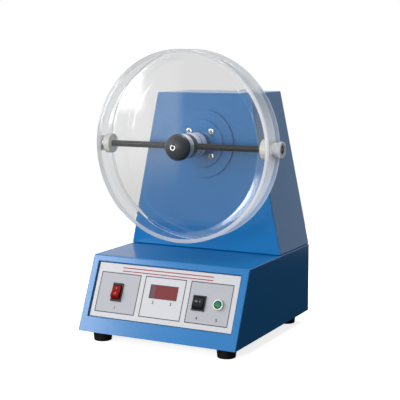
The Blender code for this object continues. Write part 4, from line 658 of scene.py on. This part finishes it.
def refined(node, material, body, softened=None, width=0.0):
    """A CAD node's own form with its facets merged. The edges that pass a test are rounded too."""
    bm = bmesh.new()
    bm.from_mesh(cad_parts[node].data)
    bmesh.ops.remove_doubles(bm, verts=bm.verts, dist=0.000002)
    bmesh.ops.dissolve_limit(bm, angle_limit=math.radians(0.5), verts=bm.verts, edges=bm.edges)
    if softened:
        round_edges(bm, [edge for edge in bm.edges if all(softened(vert.co) for vert in edge.verts)], width)
    remade(node, "finished", bm, material, body)


def dress(material, *nodes):
    """Gives CAD nodes their finish."""
    for name in nodes:
        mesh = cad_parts[name].data
        mesh.materials.clear()
        mesh.materials.append(material)


def half_width(node):
    """Half a node's width: the radius of a round one."""
    low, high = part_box(node)
    return (high.x - low.x) / 2


def half_height(node):
    """Half a node's height: the radius of a round one that lies along the crossbar."""
    low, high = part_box(node)
    return (high.z - low.z) / 2


def along_bar(node):
    """How far a node's near and far ends are from the drum's axis, along the crossbar."""
    low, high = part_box(node)
    return sorted((abs(low.x - AXIS_X), abs(high.x - AXIS_X)))


def from_axis(at):
    """Distance from the drum's axis."""
    return math.hypot(at.x - AXIS_X, at.z - AXIS_Z)


def casings():
    """Painted casings with smooth bends and a rounded mouth to the panel's recess, and the zinc tray."""
    over_panel = PANEL.inverted()
    width, low, high = RECESS

    def at_mouth(point):
        """Whether a point lies on the mouth of the panel's recess."""
        place = over_panel @ point
        return abs(place.z) < GAP / 2 and abs(place.x) < width / 2 + GAP and low - GAP < place.y < high + GAP

    refined("base_housing", blue, BODY, at_mouth, RECESS_EDGE)
    refined("tower_housing", blue, BODY)
    refined("tower_rear_cover", blue, BODY)
    dress(zinc, "base_plate")


def drum():
    """The clear drum: a cup with rounded corners and a hole for each collar's neck."""
    rim = drum_low.y
    back = drum_high.y
    floor_place = back - BACK_WALL
    hole = half_width("hub_sleeve") + GAP
    outline = [(hole, back)]
    outline += arc((OUTER_RADIUS - OUTER_FILLET, back - OUTER_FILLET), OUTER_FILLET, 90, 0, 6)
    outline += [(OUTER_RADIUS, rim), (INNER_RADIUS, rim)]
    outline += arc((INNER_RADIUS - INNER_FILLET, floor_place - INNER_FILLET), INNER_FILLET, 0, 90, 8)
    outline += [(hole, floor_place)]
    shell = remade("drum_shell", "clear", turned(outline, steps=LARGE_TURN), acrylic, "drum")
    reach = OUTER_RADIUS + 0.004
    cut(shell, rod(COLLAR_NECK + GAP, -reach, reach, BAR_MIDDLE, ALONG_BAR))
    face_finish(shell, acrylic_edge, lambda at, normal: normal.y < -0.9 and at.y < rim + GAP)
    # The back's outer corner takes the sanded finish too: a painted highlight, a thin light line round the
    # back
    face_finish(shell, acrylic_edge,
                lambda at, normal: from_axis(at) > OUTER_RADIUS - OUTER_FILLET and normal.y > 0.1)
    face_finish(shell, acrylic_wall,
                lambda at, normal: from_axis(at) > INNER_RADIUS - GAP and abs(normal.y) < 0.1)


def cover():
    """The clear front disc. Its rim is dished: both faces lean by a small slope after a soft bend."""
    front = cover_low.y
    back = cover_high.y
    shoulder = back - COVER_SPIGOT
    hole = STUD_RADIUS + GAP
    width = INNER_RADIUS - GAP - COVER_DISH_RADIUS
    curve_steps = 4
    dish = []
    for step in range(curve_steps + 1):
        share = COVER_DISH_START * step / curve_steps
        fall = COVER_DISH_SLOPE * width * share ** 2 / COVER_DISH_START / 2
        dish.append((COVER_DISH_RADIUS + width * share, fall))
    depth = COVER_DISH_SLOPE * width * (1 - COVER_DISH_START / 2)
    dish.append((COVER_DISH_RADIUS + width, depth))
    outline = [(hole, back)]
    outline += [(radius, back - fall) for radius, fall in dish]
    outline += [(INNER_RADIUS - GAP, shoulder), (OUTER_RADIUS, shoulder)]
    outline += arc((OUTER_RADIUS - COVER_EDGE, front + COVER_EDGE), COVER_EDGE, 0, -90, 4)
    outline += [(radius, front + depth - fall) for radius, fall in reversed(dish)]
    outline += [(hole, front + depth)]
    disc = remade("drum_cover", "clear", turned(outline, steps=LARGE_TURN), acrylic, "cover")
    face_finish(disc, acrylic_edge, lambda at, normal: from_axis(at) > OUTER_RADIUS - COVER_EDGE)


def hub():
    """Sleeve, block, ring with its stud, and the crossbar."""
    low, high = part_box("hub_sleeve")
    radius = half_width("hub_sleeve")
    bore = 0.0085
    bore_end = high.y - 0.022
    outline = [(0.0, bore_end), (bore, bore_end), (bore, high.y), (radius, high.y), (radius, low.y),
               (0.0, low.y)]
    remade("hub_sleeve", "turned", turned(outline, edge=0.0007), nickel, "drum")
    low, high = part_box("hub_block")
    radius = half_width("hub_block")
    block = rod(radius, high.y, low.y, edge=0.0006)
    block = remade("hub_block", "moulded", block, hub_black, "drum")
    bar_radius = half_height("crossbar")
    reach = radius + 0.004
    cut(block, rod(bar_radius + GAP, -reach, reach, BAR_MIDDLE, ALONG_BAR, TINY_TURN))
    low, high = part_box("hub_ring")
    radius = half_width("hub_ring")
    front = cover_high.y + GAP
    outline = [(0.0, high.y), (radius, high.y), (radius, front), (STUD_RADIUS, front), (STUD_RADIUS, low.y),
               (0.0, low.y)]
    remade("hub_ring", "plated", turned(outline, edge=0.0008), nickel, "drum")
    low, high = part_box("crossbar")
    crossbar = rod(bar_radius, low.x - AXIS_X, high.x - AXIS_X, BAR_MIDDLE, ALONG_BAR, edge=0.0006)
    remade("crossbar", "blacked", crossbar, bar_black, "drum")


def knob():
    """Domed knob on its short skirt, with the light ring in its tip."""
    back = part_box("cover_knob")[1].y
    radius = half_width("cover_knob")
    insert_low, insert_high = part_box("knob_insert")
    insert_radius = half_width("knob_insert")
    insert_hole = 0.0027
    insert_proud = 0.0005
    skirt = 0.0022
    chamfer = 0.0006
    bore = 0.0043
    bore_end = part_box("hub_ring")[0].y - 0.001
    dome_steps = 20
    pocket = insert_radius + GAP
    equator = back - skirt
    rise = equator - insert_low.y - insert_proud
    last = math.acos(pocket / radius)
    outline = [(0.0, bore_end), (bore, bore_end), (bore, back), (radius - chamfer, back),
               (radius, back - chamfer)]
    for step in range(dome_steps + 1):
        angle = last * step / dome_steps
        outline.append((radius * math.cos(angle), equator - rise * math.sin(angle)))
    outline += [(pocket, insert_high.y + GAP), (0.0, insert_high.y + GAP)]
    dome = turned(outline, steps=MEDIUM_TURN)
    remade("cover_knob", "moulded", dome, knob_black, "knob")
    outline = [(insert_hole, insert_high.y), (insert_radius, insert_high.y), (insert_radius, insert_low.y),
               (insert_hole, insert_low.y)]
    remade("knob_insert", "turned", turned(outline, edge=0.0003), screw_steel, "knob")


def collars():
    """Nylon collars inside the drum wall and their flanged nuts outside it, each nut with a screw recess
    whose floor is painted black as painted shade.
    """
    bore = 0.0053
    bar_end = OUTER_RADIUS + 0.0017
    barrel = 0.0108
    flange_thickness = 0.005
    recess_depth = 0.0022
    recess_floor = 0.0072
    recess_mouth = 0.0078
    pip_depth = 0.001
    pip_radius = 0.002
    thread_end_gap = 0.0006
    for side, end in SIDES:
        start, neck_end = along_bar("collar_" + end)
        radius = half_height("collar_" + end)
        face = math.sqrt(INNER_RADIUS ** 2 - radius ** 2) - GAP
        outline = [(0.0, neck_end), (COLLAR_NECK, neck_end), (COLLAR_NECK, face), (radius, face),
                   (radius, start), (bore, start), (bore, bar_end), (0.0, bar_end)]
        outline = [(r, side * place) for r, place in outline]
        collar = turned(outline, BAR_MIDDLE, ALONG_BAR, edge=0.0012)
        remade("collar_" + end, "turned", collar, nylon, "drum")
        inside, outside = along_bar("collar_nut_" + end)
        radius = half_height("collar_nut_" + end)
        flange_start = outside - flange_thickness
        recess = outside - recess_depth
        socket = COLLAR_NECK + GAP
        socket_end = neck_end + thread_end_gap
        outline = [(0.0, recess - pip_depth), (pip_radius, recess - pip_depth), (pip_radius, recess),
                   (recess_floor, recess), (recess_mouth, outside), (radius, outside), (radius, flange_start),
                   (barrel, flange_start), (barrel, inside), (socket, inside), (socket, socket_end),
                   (0.0, socket_end)]
        outline = [(r, side * place) for r, place in outline]
        nut = turned(outline, BAR_MIDDLE, ALONG_BAR, edge=0.0006)
        nut = remade("collar_nut_" + end, "turned", nut, nut_nylon_and_shade, "drum")
        # Painted shade: the recess's floor takes a black finish
        face_finish(nut, bar_black, lambda at, normal: flange_start < side * (at.x - AXIS_X) < recess + GAP
                    and side * normal.x > 0.5)


def flange():
    """Painted bearing flange with its steps, and the four screws."""
    low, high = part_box("bearing_flange")
    front = low.y
    raised_radius = 0.0385
    raised_height = 0.004
    disc_thickness = 0.0037
    boss = 0.024
    seat = 0.0163
    shaft_hole = 0.0085
    shank = 0.002
    overrun = 0.002
    step = front + raised_height
    back = step + disc_thickness
    seat_end = step - GAP
    radius = half_width("bearing_flange")
    outline = [(shaft_hole, front), (shaft_hole, seat_end), (seat, seat_end), (seat, high.y), (boss, high.y),
               (boss, back), (radius, back), (radius, step), (raised_radius, step), (raised_radius, front)]
    body = turned(outline, steps=MEDIUM_TURN, edge=0.0006)
    body = remade("bearing_flange", "painted", body, blue, BODY)
    for number in range(1, 5):
        name = f"flange_screw_{number}"
        low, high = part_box(name)
        centre = Vector(((low.x + high.x) / 2, 0.0, (low.z + high.z) / 2))
        cut(body, rod(shank + GAP, front - overrun, back + overrun, centre, ALONG_DRUM, TINY_TURN))
        pan_head_screw(name, centre, ALONG_DRUM, low.y, front - GAP, high.y, FLANGE_SCREW_HEAD, shank,
                       (name,))


def pan_head_screw(name, centre, axis, top, under, end, head, shank, nodes=()):
    """A pan-head screw with a hexagon socket, painted black inside as painted shade. Its head runs from top
    to under, and its shank to its end.
    """
    outline = [(0.0, end), (shank, end), (shank, under), (head, under)]
    outline += [(head * out, top + (under - top) * down) for out, down in PAN_HEAD]
    screw = turned(outline, centre, axis, TINY_TURN, edge=0.00012)
    screw = make(name + "_plated", screw, screw_steel, BODY, nodes)
    # Painted shade: the faces inside the socket take a black finish
    socket = head * 0.5
    face_finish(screw, knob_black, lambda at, normal: (at - centre).cross(Vector(axis)).length < socket)


def rear_screws():
    """Pan-head screws near the four corners and the middle of each side of the rear cover."""
    low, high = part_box("tower_rear_cover")
    face = low.y + REAR_SHEET
    middle_x = (low.x + high.x) / 2
    bottom_half = half_width("tower_rear_cover")
    for row, share in enumerate(REAR_SCREW_ROWS, 1):
        z = low.z + (high.z - low.z) * share
        half = bottom_half + (REAR_TOP_HALF - bottom_half) * share - REAR_SCREW_INSET
        for side, end in SIDES:
            centre = Vector((middle_x + side * half, 0.0, z))
            pan_head_screw(f"rear_screw_{end}_{row}", centre, AWAY_FROM_DRUM, -face - REAR_SCREW_RISE, -face,
                           -face + REAR_SCREW_LENGTH, REAR_SCREW_HEAD, REAR_SCREW_SHANK)


def feet():
    """Rubber feet with a rounded sole, a little wider than the CAD feet, and a screw in each one's recess."""
    extra = 0.002
    sole_radius = 0.0118 + extra
    recess = 0.0045
    depth = 0.006
    screw_rise = 0.0022
    screw_head = 0.0038
    screw_shank = 0.002
    screw_grip = 0.002
    for end in ("front_left", "front_right", "rear_left", "rear_right"):
        low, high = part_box("foot_" + end)
        centre = Vector(((low.x + high.x) / 2, (low.y + high.y) / 2, 0.0))
        top_radius = half_width("foot_" + end) + extra
        outline = [(0.0, high.z), (top_radius, high.z), (sole_radius, low.z), (recess, low.z),
                   (recess, depth), (0.0, depth)]
        foot = turned(outline, centre, UPRIGHT, edge=0.001)
        remade("foot_" + end, "rubber", foot, rubber, BODY)
        pan_head_screw(f"foot_screw_{end}", centre, UPRIGHT, depth - screw_rise, depth, high.z + screw_grip,
                       screw_head, screw_shank)


def panel_print():
    """Line frames round the three fields, a dark strip of painted shade round the plate, two red rules in the
    header band, plain numerals.
    """
    dress(plate_print, "panel_plate")
    low = PLATE_FRONT + INK / 3
    high = PLATE_FRONT + INK
    lines = []
    for number in (-1, 0, 1):
        place = Matrix.Translation((number * FIELD_PITCH, FIELD_PLACE, 0.0))
        lines += [moved(line, place) for line in frame_bars(FIELD_WIDTH, FIELD_LENGTH, FIELD_LINE, low, high)]
    make("field_lines", merged(lines, PANEL), line_ink, BODY)
    width, bottom, top = RECESS
    right = width / 2 - GAP
    bottom += GAP
    top -= GAP
    inner_left = SHADE_STRIP_LEFT - right
    inner_right = right - SHADE_STRIP_LINE
    proud = PLATE_FRONT + GAP
    # Painted shade: a dark strip round the plate, widest at the left, where the recess's walls shade it
    strips = [bar((-right, bottom, low), (inner_left, top, proud)),
              bar((inner_right, bottom, low), (right, top, proud)),
              bar((inner_left, bottom, low), (inner_right, bottom + SHADE_STRIP_LINE, proud)),
              bar((inner_left, top - SHADE_STRIP_LINE, low), (inner_right, top, proud))]
    make("panel_shade_strip", merged(strips, PANEL), shade_strip_dark, BODY)
    half = HEADER_LENGTH / 2
    rules = []
    for up in (HEADER_PLACE - HEADER_HEIGHT / 2, HEADER_PLACE + HEADER_HEIGHT / 2):
        rules.append(bar((-half, up - HEADER_RULE / 2, low), (half, up + HEADER_RULE / 2, high)))
    make("header_rules", merged(rules, PANEL), header_ink, BODY)
    places = ((POWER_SWITCH[0], CONTROL_LABEL_PLACE), (-COUNT_LABEL_X, COUNT_LABEL_PLACE),
              (COUNT_LABEL_X, COUNT_LABEL_PLACE), (TIMER_SWITCH[0], CONTROL_LABEL_PLACE),
              (BUTTON_PLACE[0], CONTROL_LABEL_PLACE))
    for number, (across, up) in enumerate(places, 1):
        numeral(number, on_panel(across, up, low))


def numeral(number, place):
    """A plain printed numeral, made a mesh."""
    curve = bpy.data.curves.new(f"numeral_{number}", "FONT")
    curve.body = str(number)
    curve.size = NUMERAL_HEIGHT
    curve.offset = NUMERAL_BOLD
    curve.align_x = "CENTER"
    curve.align_y = "CENTER"
    text = in_scene(f"numeral_{number}", curve)
    flat = evaluated_mesh(text)
    bpy.data.objects.remove(text)
    bpy.data.curves.remove(curve)
    bm = bmesh.new()
    bm.from_mesh(flat)
    bpy.data.meshes.remove(flat)
    make(f"numeral_{number}", moved(bm, place), mark_ink, BODY)


def window_edge():
    """The display window's dark edge, and the band at its left that the digits leave blank."""
    place = on_panel(0.0, WINDOW_PLACE)
    width, length = WINDOW_SIZE
    low = PLATE_FRONT + INK
    lines = frame_bars(width + WINDOW_EDGE_REACH, length + WINDOW_EDGE_REACH, WINDOW_EDGE_LINE, low,
                       low + INK)
    make("window_edge", merged(lines, place), edge_ink, BODY)
    pane = PLATE_FRONT - GAP
    up = length / 2 - GAP
    band = bar((GAP - width / 2, -up, pane), (WINDOW_BAND - width / 2, up, pane + INK))
    make("window_band", moved(band, place), band_ink, BODY)


def switch(name, place, size, end_radius, ridge, colour, marks):
    """A bezel with deep ends, and a rocker with a hollowed top and its marks, pressed at its upper end."""
    width, length = size
    at = on_panel(*place)
    end_gap = 0.0004
    edge = 0.0004
    hollow = 0.0011
    bezel_half = width / 2 - 0.0006
    rocker_half = width / 2 - 0.0021
    ends = []
    for side in (-1, 1):
        near, far = sorted((side * (end_radius + end_gap), side * (length / 2 - 0.0002)))
        end = bar((-bezel_half, near, PLATE_FRONT + GAP), (bezel_half, far, BEZEL_FRONT))
        break_edges(end, edge)
        ends.append(end)
    make(name + "_bezel_ends", merged(ends, at), bezel_black, BODY)
    half = end_radius * math.sin(ridge)
    crest = end_radius * math.cos(ridge)
    outline = [(-half, crest), (0.0, crest - hollow), (half, crest)]
    outline += arc((0.0, 0.0), end_radius, 90 - math.degrees(ridge), -20, 6)
    outline += arc((0.0, 0.0), end_radius, 200, 90 + math.degrees(ridge), 6)[:-1]
    rocker = plate(outline, -rocker_half, rocker_half)
    upright = Matrix(((0.0, 0.0, 1.0, 0.0), (1.0, 0.0, 0.0, 0.0), (0.0, 1.0, 0.0, 0.0), (0.0, 0.0, 0.0, 1.0)))
    pivot = at @ Matrix.Translation((0.0, 0.0, ROCKER_PIVOT)) @ Matrix.Rotation(-ROCKER_REST, 4, "X")
    moved(rocker, pivot @ upright)
    break_edges(rocker, edge)
    body = name + "_switch_rocker"
    remade(name + "_rocker", "moulded", rocker, colour, body)
    slope = math.atan2(hollow, half)
    for number, (across, up, shape) in enumerate(marks):
        turn = Matrix.Rotation(math.copysign(slope, up), 4, "X")
        height = crest - hollow * (1 - abs(up) / half) + INK
        spot = pivot @ Matrix.Translation((across, up, height)) @ turn
        make(f"{name}_mark_{number}", moved(shape(), spot), pale_ink, body)


def mark_o():
    """A rocker's printed O."""
    inner = 0.0011
    outer = 0.0016
    return turned([(inner, 0.0), (outer, 0.0), (outer, INK), (inner, INK)], Vector(), UPRIGHT, TINY_TURN)


def mark_i():
    """A rocker's printed I."""
    return bar((-0.0003, -0.0016, 0.0), (0.0003, 0.0016, INK))


def start_button():
    """The satin bezel with its barrel, and the domed green lens on its stem."""
    place = on_panel(*BUTTON_PLACE)
    seat = PLATE_FRONT + GAP
    bore = LENS_RADIUS + GAP
    barrel = 0.006
    barrel_bore = barrel - 0.0008
    stem = 0.003
    web = 0.0015
    web_top = 0.0002
    lip = 0.0008
    lip_fall = 0.0006
    roll = 0.0014
    outline = [(bore, BUTTON_FRONT - lip_fall), (bore + lip, BUTTON_FRONT)]
    outline += arc((BUTTON_RADIUS - roll, BUTTON_FRONT - roll), roll, 90, 0, 6)
    outline += [(BUTTON_RADIUS, seat), (barrel, seat), (barrel, BUTTON_BACK), (stem + GAP, BUTTON_BACK),
                (stem + GAP, seat - web), (barrel_bore, seat - web), (barrel_bore, seat + web_top),
                (bore, seat + web_top)]
    bezel = moved(turned(outline, Vector(), UPRIGHT), place)
    remade("start_button_bezel", "turned", bezel, nickel, BODY)
    crown = 0.0014
    edge = BUTTON_FRONT - 0.0008
    underside = BUTTON_FRONT - 0.0016
    stem_end = BUTTON_BACK + 0.009
    sphere = (LENS_RADIUS ** 2 + crown ** 2) / (2 * crown)
    span = math.degrees(math.asin(LENS_RADIUS / sphere))
    outline = arc((0.0, edge + crown - sphere), sphere, 90, 90 - span, 8)
    outline[0] = (0.0, edge + crown)
    outline += [(LENS_RADIUS, underside), (stem, underside), (stem, stem_end), (0.0, stem_end)]
    lens = moved(turned(outline, Vector(), UPRIGHT), place)
    make("start_button_lens", lens, green, "start_button", ("start_button_cap",))


def camera():
    """The photograph's camera."""
    data = bpy.data.cameras.new("camera")
    data.lens = CAMERA_LENS
    data.sensor_width = SENSOR_WIDTH
    data.clip_end = 100.0
    target = Vector((AXIS_X + AIM_PAST_AXIS, (base_low.y + base_high.y) / 2, AIM_HEIGHT))
    back = Vector((math.sin(CAMERA_AZIMUTH) * math.cos(CAMERA_ELEVATION),
                   -math.cos(CAMERA_AZIMUTH) * math.cos(CAMERA_ELEVATION), math.sin(CAMERA_ELEVATION)))
    lens = in_scene("camera", data)
    lens.location = target + back * CAMERA_DISTANCE
    aim = (-back).to_track_quat("-Z", "Y").to_matrix().to_4x4()
    lens.rotation_euler = (aim @ Matrix.Rotation(CAMERA_ROLL, 4, "Z")).to_euler()
    bpy.context.scene.camera = lens


def softbox(name, place, aim_height, width, power):
    """A square studio lamp, aimed at a height over the middle of the floor."""
    data = bpy.data.lights.new(name, "AREA")
    data.shape = "SQUARE"
    data.size = width
    data.energy = power
    lamp = in_scene(name, data)
    lamp.location = place
    lamp.rotation_euler = (Vector((0.0, 0.0, aim_height)) - Vector(place)).to_track_quat("-Z", "Y").to_euler()


def patch(add, slants, level, edges):
    """A bright patch of the room: its level, falling softly to nothing past each of its edges."""
    for slant, outside, inside in edges:
        step = add("MapRange", {0: slants[slant], 1: outside, 2: inside}, **SOFT)
        level = add("Math", {0: level, 1: step}, operation="MULTIPLY")
    return level


def studio():
    """White to the camera. Other rays meet plain light from the room. Mirrored ones meet a pale wall behind
    and, in front, a dim room with a high window, a paler left side and bright panes that the drum mirrors."""
    world = bpy.data.worlds.new("studio")
    bpy.context.scene.world = world
    world.use_nodes = True
    add = partial(add_node, world.node_tree)
    way = add("TexCoord").outputs["Generated"]
    slants = dict(add("SeparateXYZ", {0: way}).outputs.items())
    towards = Vector(WINDOW_WAY).normalized()
    slants["window"] = add("VectorMath", {0: way, 1: towards}, operation="DOT_PRODUCT")
    window = patch(add, slants, WINDOW_LEVEL, WINDOW_EDGES)
    ambient = add("MapRange", {0: slants["Z"], 1: -0.2, 2: 0.8, 3: AMBIENT_LOW, 4: AMBIENT_HIGH}, **SOFT)
    light = add("Math", {0: window, 1: ambient}, operation="ADD")
    wall = 1.0
    for start, end, low, high in WALL_STEPS:
        step = add("MapRange", {0: slants["X"], 1: start, 2: end, 3: low, 4: high}, **SOFT)
        wall = add("Math", {0: wall, 1: step}, operation="MINIMUM")
    paler = patch(add, slants, WALL_PALER_LEVEL, PALER_EDGES)
    wall = add("Math", {0: wall, 1: paler}, operation="ADD")
    room = ROOM_LEVEL
    for level, edges in ((window, HIGH_EDGES), (LEFT_LEVEL, LEFT_EDGES), (LOW_PANE_LEVEL, LOW_PANE_EDGES),
                         (STRIP_LEVEL, STRIP_EDGES), (PANE_LEVEL, PANE_EDGES)):
        room = add("Math", {0: room, 1: patch(add, slants, level, edges)}, operation="ADD")
    behind = add("MapRange", {0: slants["Y"], 1: -0.05, 2: 0.2}, **SOFT)
    mirrored = add("Mix", {0: behind, 2: room, 3: wall}, data_type="FLOAT")
    path = add("LightPath").outputs
    sharp = add("Math", {0: path["Is Glossy Ray"], 1: path["Is Transmission Ray"]}, operation="MAXIMUM")
    unseen = add("Mix", {0: sharp, 2: light, 3: mirrored}, data_type="FLOAT")
    background = world.node_tree.nodes["Background"].inputs
    add("Mix", {0: path["Is Camera Ray"], 2: unseen, 3: 1.0}, background["Strength"], data_type="FLOAT")
    background["Color"].default_value = linear("#ffffff")
    for lamp in SOFTBOXES:
        softbox(*lamp)


def floor():
    """A floor that is white to the camera and keeps the tester's shadow. Mirrored rays meet it dark in front
    and as bright as the wall behind, and other rays meet a dull grey that gives light far behind."""
    bm = bmesh.new()
    bmesh.ops.create_grid(bm, x_segments=1, y_segments=1, size=FLOOR_REACH)
    material = bpy.data.materials.new("white_floor")
    material.use_nodes = True
    add = partial(add_node, material.node_tree)
    path = add("LightPath").outputs
    slants = add("SeparateXYZ", {0: add("TexCoord").outputs["Object"]}).outputs
    white = "#ffffff"
    pale = add("BsdfDiffuse", {"Color": "#d0d0d0"})
    glow = add("Emission", {"Color": white, "Strength": FLOOR_GLOW})
    lit = add("AddShader", {0: pale, 1: glow})
    through = add("MapRange", {0: slants["Y"], 1: 0.1, 2: 0.4, 3: FLOOR_DARK, 4: WALL_LEVEL}, **SOFT)
    glossy = add("MapRange", {0: slants["Y"], 1: 0.6, 2: 1.2, 3: FLOOR_DARK, 4: WALL_LEVEL_RIGHT}, **SOFT)
    behind = add("Mix", {0: path["Is Transmission Ray"], 2: glossy, 3: through}, data_type="FLOAT")
    mirrored = add("Emission", {"Color": white, "Strength": behind})
    dull = add("BsdfDiffuse", {"Color": "#3c3c3c"})
    far_level = patch(add, slants, FLOOR_FAR_LEVEL, FLOOR_FAR_EDGES)
    far = add("Emission", {"Color": white, "Strength": far_level})
    soft = add("AddShader", {0: dull, 1: far})
    sharp = add("Math", {0: path["Is Glossy Ray"], 1: path["Is Transmission Ray"]}, operation="MAXIMUM")
    unseen = add("MixShader", {0: sharp, 1: soft, 2: mirrored})
    add("MixShader", {0: path["Is Camera Ray"], 1: unseen, 2: lit},
        material.node_tree.nodes["Material Output"].inputs["Surface"])
    ground = in_scene("floor", as_mesh("floor", bm))
    ground.data.materials.append(material)


casings()
drum()
cover()
hub()
knob()
collars()
flange()
rear_screws()
feet()
panel_print()
window_edge()
switch("power", POWER_SWITCH, POWER_SIZE, POWER_END_RADIUS, POWER_RIDGE, red,
       ((0.0, 0.0045, mark_i), (0.0, -0.0045, mark_o)))
switch("timer", TIMER_SWITCH, TIMER_SIZE, TIMER_END_RADIUS, TIMER_RIDGE, rocker_black,
       ((-0.0032, 0.001, mark_o), (0.0032, 0.001, mark_i)))
start_button()

dress(filter_red, "display_window")
dress(board, "display_module", "control_board")
dress(black, "power_switch_body", "timer_switch_body", "mains_inlet", "fuse_holder", "fuse_cap",
      "count_disc", "count_sensor")
dress(steel, "drive_shaft", "gearbox_shaft", "front_bearing_outer_ring", "front_bearing_inner_ring",
      "rear_bearing_outer_ring", "rear_bearing_inner_ring")
dress(brass, "front_bearing_ball_ring", "rear_bearing_ball_ring", "inlet_pin_live", "inlet_pin_earth",
      "inlet_pin_neutral")
dress(cast, "coupling_front_hub", "coupling_rear_hub", "gearbox")
dress(zinc, "motor_bracket")
dress(red, "coupling_spider")
dress(iron, "transformer_core", "drive_motor")
dress(copper, "transformer_winding")

camera()
studio()
floor()

scene = bpy.context.scene
scene.view_settings.view_transform = "Standard"
